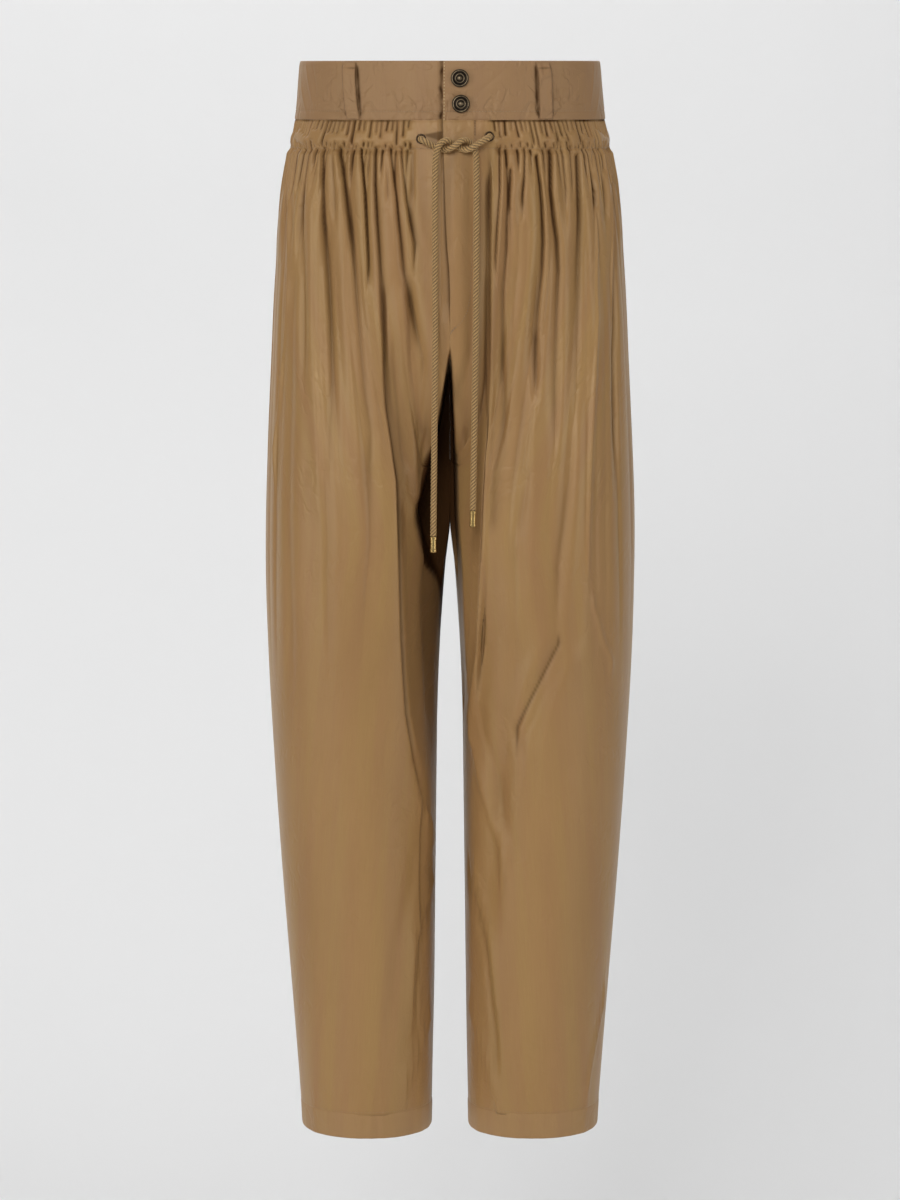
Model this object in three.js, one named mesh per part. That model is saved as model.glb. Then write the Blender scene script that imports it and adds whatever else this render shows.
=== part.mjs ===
// Cropped trousers with a wide, tapering leg: a waistband with an overlapped button closing, four gathered
// leg panels, hem bands, belt loops, eyelets and a knotted drawstring.
// Millimetres, +Z up. The front faces -Y, and the wearer's left is on +X.
// The origin is the centre of the waist opening, half way up the waistband.
import * as THREE from 'three';

// ---- Driving dimensions ----
const WAIST_EDGE = 27; // top of the waistband above the origin
const BAND_SEAM = -26.6; // waistband meets the gathered legs
const CASING_STITCH = -52; // lower stitching of the drawstring casing
const FLY_END = -190; // the overlap of the fronts has run out
const FLAT_AGAIN = -215; // the step under the overlap has run out
const FRONT_FORK = -228; // the front crotch curve starts
const BACK_FORK = -205; // the back crotch curve starts
const CROTCH = -345; // where the four panels meet
const TURN_TOP = -130; // the panels turn from the body's section to the leg's between these heights
const TURN_BOTTOM = -430;
const SEAM_REACH = 0.4; // share of a panel, from the centre, that follows the crotch curve
const INSEAM_FORWARD = 5; // the inseam lies this far in front of the side seam
const HEM_LINE = -957; // hem band meets the leg
const HEM_EDGE = -981; // lower edge of the garment
const CLOTH = 1.6; // wall of a leg panel
const BAND_CLOTH = 2.2; // wall of the doubled waistband and hem bands
const SEAM = 0.3; // room between neighbouring pieces
const FULLNESS = 2.25; // exponent of the rounded sections, 2 is an ellipse

const OVERLAP = 6.4; // the left front laps this far past the centre
const PANEL_UNDERLAP = 8; // the right front reaches this far under it
const BAND_UNDERLAP = 25; // and the right waistband this far
const UNDERLAP_TAPER = 30; // the underlap of the panel narrows over this height

const FRONT_GATHERS = 25; // on one front panel
const BACK_GATHERS = 29; // on one back panel
const LEFT_FLAT = 40; // plain cloth beside the centre front, left
const RIGHT_FLAT = 35; // and right
const BACK_FLAT = 4; // and beside the centre back

const CORD_RADIUS = 2.95;
const CORD_SIDES = 8;
const TIP_LENGTH = 15;
const BUTTON_RADIUS = 8.2;
const EYELET_RADIUS = 5.2;
const EYELET_HOLE = 3.3;

// Sections of the garment: height, half width over both legs, and how far the front and the back stand out.
const SECTIONS = [
  { z: 27, side: 139.5, front: 97, back: 99 },
  { z: -26, side: 144.6, front: 101, back: 104 },
  { z: -52, side: 149.1, front: 104, back: 109 },
  { z: -102, side: 157.9, front: 109, back: 120 },
  { z: -176, side: 164.4, front: 112, back: 130 },
  { z: -251, side: 168.1, front: 113, back: 133 },
  { z: -342, side: 172, front: 113, back: 128 },
  { z: -426, side: 173.5, front: 111, back: 118 },
  { z: -516, side: 171.5, front: 106, back: 108 },
  { z: -631, side: 165.4, front: 96, back: 97 },
  { z: -747, side: 157.8, front: 85, back: 87 },
  { z: -863, side: 149, front: 75, back: 77 },
  { z: -957, side: 142.1, front: 68, back: 70 },
  { z: -981, side: 140.7, front: 67, back: 69 },
];

// Half of the space between the legs.
const LEG_SPACE = [
  { z: -345, inner: 0.5 },
  { z: -414, inner: 0.5 },
  { z: -440, inner: 3.5 },
  { z: -478, inner: 7.1 },
  { z: -516, inner: 9.5 },
  { z: -573, inner: 11.8 },
  { z: -631, inner: 12.7 },
  { z: -747, inner: 14.2 },
  { z: -863, inner: 15.5 },
  { z: -981, inner: 18.2 },
];

// How far the left front laps past the centre, down the opening.
const OPENING = [
  { z: -26, lap: 6.4 },
  { z: -102, lap: 4.5 },
  { z: -140, lap: 2.7 },
  { z: -165, lap: 0.6 },
  { z: -190, lap: -0.15 },
];

// Three orders of gathers: small ones at the casing run together into wider folds below it.
const GATHER_HEIGHT = [
  { z: -27, small: 0.7, middle: 0, wide: 0 },
  { z: -38, small: 1.6, middle: 0.2, wide: 0 },
  { z: -52, small: 0.9, middle: 0.3, wide: 0 },
  { z: -62, small: 1.6, middle: 0.8, wide: 0.3 },
  { z: -90, small: 0.8, middle: 1.5, wide: 1 },
  { z: -125, small: 0.2, middle: 1.7, wide: 1.8 },
  { z: -170, small: 0, middle: 0.8, wide: 2 },
  { z: -235, small: 0, middle: 0.2, wide: 1.2 },
  { z: -330, small: 0, middle: 0, wide: 0.5 },
  { z: -420, small: 0, middle: 0, wide: 0 },
];

// Main folds: a path of [height, distance from the centre], how far the fold stands out (or in, when
// negative), and how wide it is towards the centre (inner) and the side (outer).
const FOLDS = {
  front_right: [
    { path: [[-60, 118], [-153, 117], [-225, 110], [-300, 105]], height: -2.2, inner: 6, outer: 6 },
    { path: [[-60, 99], [-153, 90], [-225, 81], [-307, 69], [-380, 63]], height: -2.6, inner: 7, outer: 6 },
    { path: [[-62, 68], [-162, 64], [-216, 60], [-285, 57], [-325, 52], [-360, 48], [-452, 45], [-533, 42],
      [-616, 33], [-663, 20], [-700, 14]], height: 4, inner: 5, outer: 22 },
    { path: [[-100, 50], [-162, 50], [-225, 44], [-285, 42], [-325, 36], [-397, 31], [-452, 30], [-533, 28],
      [-616, 22]], height: -5.5, inner: 14, outer: 9 },
    { path: [[-600, 60], [-700, 66], [-800, 70], [-920, 72]], height: 1.6, inner: 22, outer: 26 },
    { path: [[-280, 140], [-400, 142], [-520, 138], [-640, 130]], height: -2, inner: 12, outer: 12 },
  ],
  front_left: [
    { path: [[-71, 57], [-98, 54], [-135, 50], [-171, 48], [-230, 46]], height: -2.6, inner: 5, outer: 6 },
    { path: [[-62, 94], [-135, 99], [-162, 101], [-225, 99], [-294, 97], [-360, 96]],
      height: -2.6, inner: 7, outer: 7 },
    { path: [[-71, 118], [-162, 122], [-234, 118], [-279, 116], [-325, 111], [-370, 104], [-433, 99]],
      height: -2.4, inner: 8, outer: 8 },
    { path: [[-117, 37], [-216, 35], [-253, 32], [-307, 30], [-380, 29], [-483, 25], [-574, 18]],
      height: 3.4, inner: 4, outer: 18 },
    { path: [[-117, 27], [-216, 25], [-253, 21], [-307, 18], [-380, 17]], height: -3.6, inner: 8, outer: 6 },
    { path: [[-510, 97], [-537, 79], [-566, 69], [-593, 62]], height: -2.2, inner: 8, outer: 7 },
    { path: [[-585, 17], [-642, 28], [-680, 37], [-708, 47]], height: 2, inner: 8, outer: 12 },
    { path: [[-216, 134], [-306, 131], [-351, 128], [-452, 125]], height: 2.2, inner: 10, outer: 10 },
  ],
  back_right: [
    { path: [[-60, 96], [-150, 92], [-240, 84], [-330, 78]], height: -2.4, inner: 7, outer: 7 },
    { path: [[-60, 52], [-160, 50], [-250, 52], [-400, 55]], height: -2.4, inner: 8, outer: 8 },
    { path: [[-345, 40], [-430, 52], [-520, 66], [-600, 78]], height: -3, inner: 12, outer: 10 },
    { path: [[-420, 118], [-560, 112], [-700, 104]], height: 2, inner: 16, outer: 16 },
  ],
  back_left: [
    { path: [[-60, 88], [-150, 86], [-240, 80], [-350, 72]], height: -2.4, inner: 7, outer: 7 },
    { path: [[-60, 44], [-160, 46], [-250, 48], [-380, 54]], height: -2.2, inner: 8, outer: 8 },
    { path: [[-350, 36], [-440, 50], [-540, 68], [-630, 82]], height: -3, inner: 12, outer: 10 },
    { path: [[-440, 122], [-580, 116], [-720, 106]], height: 2, inner: 16, outer: 16 },
  ],
};

const PANELS = [
  { name: 'front_right', side: -1, face: -1, flat: RIGHT_FLAT, gathers: FRONT_GATHERS, fork: FRONT_FORK },
  { name: 'front_left', side: 1, face: -1, flat: LEFT_FLAT, gathers: FRONT_GATHERS, fork: FRONT_FORK },
  { name: 'back_right', side: -1, face: 1, flat: BACK_FLAT, gathers: BACK_GATHERS, fork: BACK_FORK },
  { name: 'back_left', side: 1, face: 1, flat: BACK_FLAT, gathers: BACK_GATHERS, fork: BACK_FORK },
];

// Rows of a panel: height and number of columns between its two edges.
const PANEL_ROWS = [
  { z: BAND_SEAM - SEAM, columns: 2 }, // here and in the next three, columns for each gather
  { z: -38, columns: 2 },
  { z: CASING_STITCH, columns: 2 },
  { z: -62, columns: 2 },
  { z: -90, columns: 34 },
  { z: -125, columns: 28 },
  { z: -158, columns: 26 },
  { z: FLY_END, columns: 26 },
  { z: FLAT_AGAIN, columns: 24 },
  { z: -245, columns: 22 },
  { z: -272, columns: 20 },
  { z: -297, columns: 20 },
  { z: -318, columns: 20 },
  { z: -333, columns: 20 },
  { z: -342, columns: 20 },
  { z: -352, columns: 20 },
  { z: -380, columns: 18 },
  { z: -414, columns: 18 },
  { z: -440, columns: 18 },
  { z: -480, columns: 18 },
  { z: -530, columns: 18 },
  { z: -590, columns: 16 },
  { z: -655, columns: 16 },
  { z: -730, columns: 14 },
  { z: -805, columns: 14 },
  { z: -880, columns: 14 },
  { z: HEM_LINE, columns: 14 },
];

// ---- Small helpers ----
const clamp = (value, low, high) => Math.min(high, Math.max(low, value));

function smooth(value) {
  const t = clamp(value, 0, 1);
  return t * t * (3 - 2 * t);
}

// One column of a table at a height, on a smooth curve through its rows.
function column(table, name, z) {
  const last = table.length - 1;
  if (z >= table[0].z) return table[0][name];
  if (z <= table[last].z) return table[last][name];
  let i = 0;
  while (z < table[i + 1].z) i += 1;
  const before = table[Math.max(i - 1, 0)];
  const a = table[i];
  const b = table[i + 1];
  const after = table[Math.min(i + 2, last)];
  const span = b.z - a.z;
  const t = (z - a.z) / span;
  const slopeA = ((b[name] - before[name]) / (b.z - before.z)) * span;
  const slopeB = ((after[name] - a[name]) / (after.z - a.z)) * span;
  const t2 = t * t;
  const t3 = t2 * t;
  return (2 * t3 - 3 * t2 + 1) * a[name] + (t3 - 2 * t2 + t) * slopeA
    + (3 * t2 - 2 * t3) * b[name] + (t3 - t2) * slopeB;
}

// ---- The body and leg sections ----
const ARC_STEPS = 64;
const POWER = 2 / FULLNESS;
const rounded = (value) => Math.sign(value) * Math.abs(value) ** POWER;

// A curve given by t from 0 to 1, read by its share of length. A share under 0 lies past the centre line.
function byLength(point) {
  const points = [];
  const lengths = [0];
  for (let k = 0; k <= ARC_STEPS; k += 1) {
    points.push(point(k / ARC_STEPS));
    if (k > 0) {
      const [a, b] = [points[k - 1], points[k]];
      lengths.push(lengths[k - 1] + Math.hypot(b[0] - a[0], b[1] - a[1]));
    }
  }
  const total = lengths[ARC_STEPS];
  return {
    total,
    at(share) {
      const wanted = clamp(Math.abs(share), 0, 1) * total;
      let k = 0;
      while (k < ARC_STEPS - 1 && lengths[k + 1] < wanted) k += 1;
      const t = (wanted - lengths[k]) / (lengths[k + 1] - lengths[k]);
      const [a, b] = [points[k], points[k + 1]];
      return [(a[0] + (b[0] - a[0]) * t) * (share < 0 ? -1 : 1), a[1] + (b[1] - a[1]) * t];
    },
  };
}

const sectionStore = new Map();

// Both curves of one half panel at a height: round the body, and round the leg from inseam to side.
function section(face, z) {
  const key = face + ':' + z.toFixed(3);
  if (!sectionStore.has(key)) {
    const side = column(SECTIONS, 'side', z);
    const depth = column(SECTIONS, face < 0 ? 'front' : 'back', z);
    const inner = column(LEG_SPACE, 'inner', z);
    const body = byLength((t) => {
      const angle = (t * Math.PI) / 2;
      return [side * rounded(Math.sin(angle)), face * depth * rounded(Math.cos(angle))];
    });
    const leg = byLength((t) => {
      const angle = t * Math.PI;
      return [
        (side + inner) / 2 - ((side - inner) / 2) * rounded(Math.cos(angle)),
        face * depth * rounded(Math.sin(angle)) - INSEAM_FORWARD * (1 - t),
      ];
    });
    sectionStore.set(key, { body, leg });
  }
  return sectionStore.get(key);
}

// How far a place on a panel has turned from the body's section to the leg's. The seam itself follows a
// quarter round from the fork down to the crotch, and the rest of the panel turns over a greater height.
function parted(panel, share, z) {
  const t = clamp((panel.fork - z) / (panel.fork - CROTCH), 0, 1);
  const atSeam = 1 - Math.sqrt(1 - t * t);
  const away = smooth((TURN_TOP - z) / (TURN_TOP - TURN_BOTTOM));
  return atSeam + (away - atSeam) * smooth(share / SEAM_REACH);
}

// Panel surface without gathers or folds, on the +X side: x and y at a share of the way from centre to side.
function bare(panel, share, z) {
  const { body, leg } = section(panel.face, z);
  const legs = parted(panel, share, z);
  const a = body.at(share);
  if (legs === 0) return a;
  const b = leg.at(Math.max(share, 0));
  return [a[0] + (b[0] - a[0]) * legs, a[1] + (b[1] - a[1]) * legs];
}

// Length round the panel at a height, from centre to side.
function girth(panel, z) {
  const { body, leg } = section(panel.face, z);
  return body.total + (leg.total - body.total) * parted(panel, SEAM_REACH, z);
}

// Outward direction of the bare surface, on the +X side.
function outward(panel, share, z) {
  const ds = 0.012;
  const dz = 5;
  const low = Math.max(share - ds, -1);
  const high = Math.min(share + ds, 1);
  const [a, b] = [bare(panel, low, z), bare(panel, high, z)];
  const [c, d] = [bare(panel, share, z - dz), bare(panel, share, z + dz)];
  const along = new THREE.Vector3(b[0] - a[0], b[1] - a[1], 0);
  const up = new THREE.Vector3(d[0] - c[0], d[1] - c[1], 2 * dz);
  const normal = along.cross(up).normalize();
  return panel.face < 0 ? normal : normal.negate();
}

// ---- Gathers and folds ----
function pathAt(path, z) {
  const last = path.length - 1;
  if (z >= path[0][0]) return path[0][1];
  if (z <= path[last][0]) return path[last][1];
  let i = 0;
  while (z < path[i + 1][0]) i += 1;
  const t = (z - path[i][0]) / (path[i + 1][0] - path[i][0]);
  return path[i][1] + (path[i + 1][1] - path[i][1]) * t;
}

const FOLD_FADE = 45; // a fold fades out over this height at its ends

function foldRelief(panel, x, z) {
  let sum = 0;
  for (const fold of FOLDS[panel.name]) {
    const top = fold.path[0][0];
    const bottom = fold.path[fold.path.length - 1][0];
    const near = smooth((top + FOLD_FADE - z) / FOLD_FADE) * smooth((z - bottom + FOLD_FADE) / FOLD_FADE);
    if (near > 0) {
      const away = x - pathAt(fold.path, z);
      const width = away < 0 ? fold.inner : fold.outer;
      sum += near * fold.height * Math.exp(-((away / width) ** 2));
    }
  }
  return sum;
}

function gatherRelief(panel, share, z) {
  const flat = panel.flat / girth(panel, z);
  const along = (share - flat) / (1 - flat);
  if (along <= 0) return 0;
  const turn = 2 * Math.PI * along;
  const uneven = 0.8 + 0.2 * Math.sin(turn * 3.3 + 1) * Math.sin(turn * 5.7 + panel.side);
  const small = Math.cos(turn * panel.gathers);
  const middle = Math.cos(turn * (panel.gathers / 2 - 1) + 2 * Math.sin(turn * 1.5 + panel.side));
  const wide = Math.cos(turn * 6.5 + 1.6 * Math.sin(turn + panel.face) + panel.side);
  return uneven * (small * column(GATHER_HEIGHT, 'small', z)
    + middle * column(GATHER_HEIGHT, 'middle', z)
    + wide * column(GATHER_HEIGHT, 'wide', z));
}

const SEAM_CALM = 0.045; // share of the panel beside each seam where the relief dies away
const STEP_START = 7.4; // the right front is pushed in this far from the centre, under the left one
const STEP_END = 11.5;
const MOST_LIFT = 1.5; // a row's points stay this close to its height

function relief(panel, share, z) {
  const [x] = bare(panel, share, z);
  const nearSide = smooth((1 - share) / SEAM_CALM);
  const nearCentre = smooth(share / SEAM_CALM);
  let out = (gatherRelief(panel, share, z) + foldRelief(panel, x, z)) * nearSide * nearCentre;
  if (panel.name === 'front_right' && z > FLAT_AGAIN) {
    const level = smooth((z - FLAT_AGAIN) / (FLY_END - FLAT_AGAIN));
    const step = 1 - smooth((x - STEP_START) / (STEP_END - STEP_START));
    out -= (CLOTH + SEAM) * level * step;
  }
  return out;
}

// A point of a panel, moved out from its outer face.
function panelPoint(panel, share, z, out = 0) {
  const [x, y] = bare(panel, share, z);
  const normal = outward(panel, share, z);
  const point = new THREE.Vector3(x, y, z).addScaledVector(normal, relief(panel, share, z) + out);
  point.z = z + clamp(point.z - z, -MOST_LIFT, MOST_LIFT);
  const ownSide = share < 0 ? -Infinity : SEAM / 2;
  point.x = Math.max(point.x, ownSide) * panel.side;
  return point;
}

// ---- Closed walls from rows of outer and inner points ----
function wallMaker() {
  const positions = [];
  const indices = [];
  const add = (point) => positions.push(point.x, point.y, point.z) / 3 - 1;
  return {
    add,
    triangle: (a, b, c) => indices.push(a, b, c),
    quad: (a, b, c, d) => indices.push(a, b, c, a, c, d),
    finish(flip) {
      for (let i = 0; flip && i < indices.length; i += 3) {
        [indices[i], indices[i + 1]] = [indices[i + 1], indices[i]];
      }
      const geometry = new THREE.BufferGeometry();
      geometry.setAttribute('position', new THREE.Float32BufferAttribute(positions, 3));
      geometry.setIndex(indices);
      geometry.computeVertexNormals();
      return geometry;
    },
  };
}

// Rows run from the top down; each has outer and inner points and the share of every column.
function openWall(rows, flip) {
  const wall = wallMaker();
  const numbered = rows.map((row) => ({
    shares: row.shares,
    outer: row.outer.map(wall.add),
    inner: row.inner.map(wall.add),
  }));
  numbered.slice(1).forEach((low, r) => {
    const high = numbered[r];
    let [i, j] = [0, 0];
    const [n, m] = [high.shares.length - 1, low.shares.length - 1];
    while (i < n || j < m) {
      if (j === m || (i < n && high.shares[i + 1] <= low.shares[j + 1])) {
        wall.triangle(high.outer[i], low.outer[j], high.outer[i + 1]);
        wall.triangle(high.inner[i], high.inner[i + 1], low.inner[j]);
        i += 1;
      } else {
        wall.triangle(high.outer[i], low.outer[j], low.outer[j + 1]);
        wall.triangle(high.inner[i], low.inner[j + 1], low.inner[j]);
        j += 1;
      }
    }
    wall.quad(high.outer[0], high.inner[0], low.inner[0], low.outer[0]);
    wall.quad(high.outer[n], low.outer[m], low.inner[m], high.inner[n]);
  });
  const [top, bottom] = [numbered[0], numbered[numbered.length - 1]];
  for (let i = 0; i < top.outer.length - 1; i += 1) {
    wall.quad(top.outer[i], top.outer[i + 1], top.inner[i + 1], top.inner[i]);
  }
  for (let i = 0; i < bottom.outer.length - 1; i += 1) {
    wall.quad(bottom.outer[i], bottom.inner[i], bottom.inner[i + 1], bottom.outer[i + 1]);
  }
  return wall.finish(flip);
}

// The same for rings that close on themselves, all with as many columns.
function ringWall(rows, flip) {
  const wall = wallMaker();
  const numbered = rows.map((row) => ({ outer: row.outer.map(wall.add), inner: row.inner.map(wall.add) }));
  const count = numbered[0].outer.length;
  const top = numbered[0];
  const bottom = numbered[numbered.length - 1];
  for (let i = 0; i < count; i += 1) {
    const next = (i + 1) % count;
    numbered.slice(1).forEach((low, r) => {
      const high = numbered[r];
      wall.quad(high.outer[i], low.outer[i], low.outer[next], high.outer[next]);
      wall.quad(high.inner[i], high.inner[next], low.inner[next], low.inner[i]);
    });
    wall.quad(top.outer[i], top.outer[next], top.inner[next], top.inner[i]);
    wall.quad(bottom.outer[i], bottom.inner[i], bottom.inner[next], bottom.outer[next]);
  }
  return wall.finish(flip);
}

// ---- Leg panels ----
function centreEdge(panel, z) {
  if (panel.face < 0 && z > FLY_END) {
    if (panel.side > 0) return -column(OPENING, 'lap', z);
    const reach = smooth((z - FLY_END) / UNDERLAP_TAPER);
    return SEAM / 2 - (PANEL_UNDERLAP + SEAM / 2) * reach;
  }
  return SEAM / 2;
}

function panelShares(panel, z, columns, gathered) {
  const length = girth(panel, z);
  const start = centreEdge(panel, z) / length;
  const end = 1 - SEAM / 2 / length;
  const flat = panel.flat / length;
  const shares = [start];
  if (panel.face < 0 && z >= FLAT_AGAIN) {
    const plain = panel.side > 0 ? [10, 25] : [STEP_START, STEP_END, 24];
    plain.forEach((x) => shares.push(x / length));
  }
  const steps = gathered ? columns * panel.gathers : columns;
  const from = gathered ? flat : shares[shares.length - 1];
  if (gathered) shares.push(from);
  for (let k = 1; k < steps; k += 1) shares.push(from + ((end - from) * k) / steps);
  shares.push(end);
  return shares;
}

const GATHERED_ROWS = 4;

function legPanel(panel) {
  const rows = PANEL_ROWS.map(({ z, columns }, r) => {
    const shares = panelShares(panel, z, columns, r < GATHERED_ROWS);
    return {
      shares,
      outer: shares.map((share) => panelPoint(panel, share, z)),
      inner: shares.map((share) => panelPoint(panel, share, z, -CLOTH)),
    };
  });
  return openWall(rows, panel.side * panel.face > 0);
}

// ---- Hem bands ----
const HEM_COLUMNS = 16; // on each half of a leg
const HEM_PROUD = 0.2; // the doubled band stands out this far

function hemBand(side) {
  const halves = PANELS.filter((panel) => panel.side === side);
  const ring = (z, out) => halves.flatMap((panel) => Array.from({ length: HEM_COLUMNS }, (unused, k) => {
    const share = k / HEM_COLUMNS;
    return panelPoint(panel, panel.face < 0 ? share : 1 - share, z, out);
  }));
  const rows = [HEM_LINE - SEAM, (HEM_LINE + HEM_EDGE) / 2, HEM_EDGE].map((z) => ({
    outer: ring(z, HEM_PROUD),
    inner: ring(z, HEM_PROUD - BAND_CLOTH),
  }));
  return ringWall(rows, side < 0);
}

// ---- Waistband ----
// A place on the band: 0 at the centre front, 1 at the side, 2 at the centre back.
const BAND_PANELS = { front: PANELS[1], back: PANELS[3] };

function bandPoint(side, place, z, out) {
  const panel = place <= 1 ? BAND_PANELS.front : BAND_PANELS.back;
  const share = place <= 1 ? place : 2 - place;
  const [x, y] = bare(panel, share, z);
  const normal = outward(panel, share, z);
  const point = new THREE.Vector3(x, y, z).addScaledVector(normal, out);
  point.z = z;
  point.x = place > 1 ? Math.max(point.x, SEAM / 2) : point.x;
  point.x *= side;
  return point;
}

const BAND_COLUMNS = 30;
const BAND_EDGE_ROUND = 1.2; // how far the folded top edge rounds over

function bandHalf(side) {
  const length = girth(BAND_PANELS.front, 0);
  const start = -(side > 0 ? OVERLAP : BAND_UNDERLAP) / length;
  const step = [STEP_START / length, STEP_END / length];
  const rows = [WAIST_EDGE, WAIST_EDGE - BAND_EDGE_ROUND, 0, BAND_SEAM].map((z, r) => {
    const shares = [start, ...step];
    for (let k = 1; k <= BAND_COLUMNS; k += 1) shares.push(step[1] + ((2 - step[1]) * k) / BAND_COLUMNS);
    const pushed = (share) => (side > 0 || share > step[0] ? 0 : -(BAND_CLOTH + SEAM));
    const edge = r === 0 ? BAND_CLOTH / 4 : 0;
    return {
      shares,
      outer: shares.map((share) => bandPoint(side, share, z, pushed(share) - edge)),
      inner: shares.map((share) => bandPoint(side, share, z, pushed(share) - BAND_CLOTH + edge)),
    };
  });
  return openWall(rows, side < 0);
}

// Stands a piece on the band: its own Z points out of the cloth, its own Y up.
function seatOnBand(mesh, side, place, z, lean = 0) {
  const at = bandPoint(side, place, z, 0);
  const away = bandPoint(side, place, z, 1).sub(at);
  const up = bandPoint(side, place, z + 5, 0).sub(bandPoint(side, place, z - 5, 0)).normalize();
  const across = up.clone().cross(away).normalize();
  mesh.matrixAutoUpdate = false;
  mesh.matrix.makeBasis(across, up, across.clone().cross(up));
  mesh.matrix.multiply(new THREE.Matrix4().makeRotationZ(lean));
  mesh.matrix.setPosition(at);
}

// ---- Belt loops ----
const LOOP_WIDTH = 13.5;
const LOOP_TOP = 25;
const LOOP_FOOT = -25.6;
const LOOP_ROOM = 3; // between the loop and the band
const LOOP_CLOTH = 1.8;
const LOOP_SEAT = 0.5; // clears the curve of the band under the loop's edges

function loopGeometry() {
  const tab = 6; // each end lies on the band for this height
  const shape = new THREE.Shape([
    [LOOP_SEAT, LOOP_TOP], [LOOP_SEAT, LOOP_TOP - tab],
    [LOOP_ROOM, LOOP_TOP - tab - 4], [LOOP_ROOM, LOOP_FOOT + tab + 4],
    [LOOP_SEAT, LOOP_FOOT + tab], [LOOP_SEAT, LOOP_FOOT], [LOOP_SEAT + LOOP_CLOTH, LOOP_FOOT],
    [LOOP_SEAT + LOOP_CLOTH, LOOP_FOOT + tab - 1], [LOOP_ROOM + LOOP_CLOTH, LOOP_FOOT + tab + 3],
    [LOOP_ROOM + LOOP_CLOTH, LOOP_TOP - tab - 3], [LOOP_SEAT + 1.6 * LOOP_CLOTH, LOOP_TOP - 1],
    [LOOP_SEAT + LOOP_CLOTH, LOOP_TOP],
  ].map(([out, up]) => new THREE.Vector2(out, up)));
  const geometry = new THREE.ExtrudeGeometry(shape, { depth: LOOP_WIDTH, bevelEnabled: false, steps: 1 });
  geometry.translate(0, 0, -LOOP_WIDTH / 2);
  geometry.rotateY(-Math.PI / 2);
  return geometry;
}

const LOOPS = [
  { name: 'belt_loop_front_right', side: -1, place: 0.475, lean: -0.1 },
  { name: 'belt_loop_front_left', side: 1, place: 0.452, lean: 0 },
  { name: 'belt_loop_back_right', side: -1, place: 1.36, lean: 0 },
  { name: 'belt_loop_back_left', side: 1, place: 1.36, lean: 0 },
  { name: 'belt_loop_centre_back', side: 1, place: 2, lean: 0 },
];

// ---- Buttons ----
const BUTTONS = [
  { name: 'button_upper', x: 8.8, z: 11.1 },
  { name: 'button_lower', x: 9.8, z: -12 },
];

function turned(profile, segments) {
  const geometry = new THREE.LatheGeometry(profile.map(([r, h]) => new THREE.Vector2(r, h)), segments);
  return geometry.rotateX(Math.PI / 2);
}

function buttonGeometry() {
  const r = BUTTON_RADIUS;
  return turned([
    [0, SEAM], [r * 0.55, SEAM], [r * 0.6, 1.2], [r, 1.5], [r, 3], [r * 0.9, 3.5],
    [r * 0.72, 2.8], [r * 0.55, 3.1], [0, 3.5],
  ], 24);
}

// ---- Eyelets ----
const EYELETS = [
  { name: 'eyelet_right', panel: PANELS[0], x: 26.3, z: -43.5 },
  { name: 'eyelet_left', panel: PANELS[1], x: 35.8, z: -41.3 },
];

function eyeletGeometry() {
  return turned([
    [EYELET_HOLE, SEAM], [EYELET_RADIUS, SEAM], [EYELET_RADIUS - 0.4, 1.1], [EYELET_HOLE + 0.4, 1.3],
    [EYELET_HOLE, SEAM],
  ], 20);
}

function seatOnPanel(mesh, panel, x, z) {
  const share = x / girth(panel, z);
  const at = panelPoint(panel, share, z);
  const out = panelPoint(panel, share, z, 1).sub(at).normalize();
  const across = new THREE.Vector3(0, 0, 1).cross(out).normalize();
  mesh.matrixAutoUpdate = false;
  mesh.matrix.makeBasis(across, out.clone().cross(across), out);
  mesh.matrix.setPosition(at);
}

// ---- Drawstring ----
// Route points of each free end: x across, z up, and how far the cord's middle stands off the bare front.
// Both leave an eyelet, cross in a half knot and hang down the other side.
const CORD_ROUTES = {
  drawstring_long: [
    [35.8, -41.3, 0.9], [35.7, -41.6, 4.5], [33.8, -42.8, 8.6], [29.5, -45.2, 10.6], [24.6, -48.2, 11.2],
    [19.8, -51.4, 11], [14.8, -52.9, 8.6], [10, -52, 5.2], [5.8, -49.6, 3.6], [1.4, -46.6, 5.4],
    [-2.8, -44.6, 9], [-7, -46, 11.2], [-10.4, -50, 11.6], [-12.4, -56, 11], [-13.2, -66, 9.4],
    [-13.6, -90, 7.6], [-13.6, -150, 6], [-13.4, -225, 6],
  ],
  drawstring_short: [
    [-26.3, -43.5, 0.9], [-26.2, -43.7, 4], [-24.2, -44.8, 6.2], [-19.6, -47.2, 5.4], [-14.6, -49.6, 4],
    [-9.6, -51.8, 3.8], [-4.4, -52.9, 6], [0.6, -51.6, 9.6], [5.4, -48.6, 11], [10, -45.2, 9.8],
    [14.6, -44.6, 6.4], [18.6, -47.2, 4.2], [21.8, -51.4, 4], [23.4, -57, 5], [23.8, -68, 6], [23.9, -90, 6],
    [23.8, -150, 6], [23.4, -225, 6],
  ],
};
// Below the belly both ends hang straight down to their tips.
const CORD_ENDS = {
  drawstring_long: { x: -15.2, z: -404.5 },
  drawstring_short: { x: 21, z: -381 },
};
const HANG_ROWS = 3;

function cordPoints(name) {
  const points = CORD_ROUTES[name].map(([x, z, out]) => {
    const panel = x < 0 ? PANELS[0] : PANELS[1];
    const [, y] = bare(panel, Math.abs(x) / girth(panel, z), z);
    return new THREE.Vector3(x, y - out, z);
  });
  const hung = points[points.length - 1];
  const end = new THREE.Vector3(CORD_ENDS[name].x, hung.y, CORD_ENDS[name].z);
  for (let k = 1; k <= HANG_ROWS; k += 1) points.push(hung.clone().lerp(end, k / HANG_ROWS));
  return points;
}

// A smooth route whose steps follow its own points, close together in the knot and far apart in the fall.
class CordRoute extends THREE.CatmullRomCurve3 {
  getUtoTmapping(u) {
    return u;
  }
}

const CORD_STEPS_PER_POINT = 2;

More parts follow.
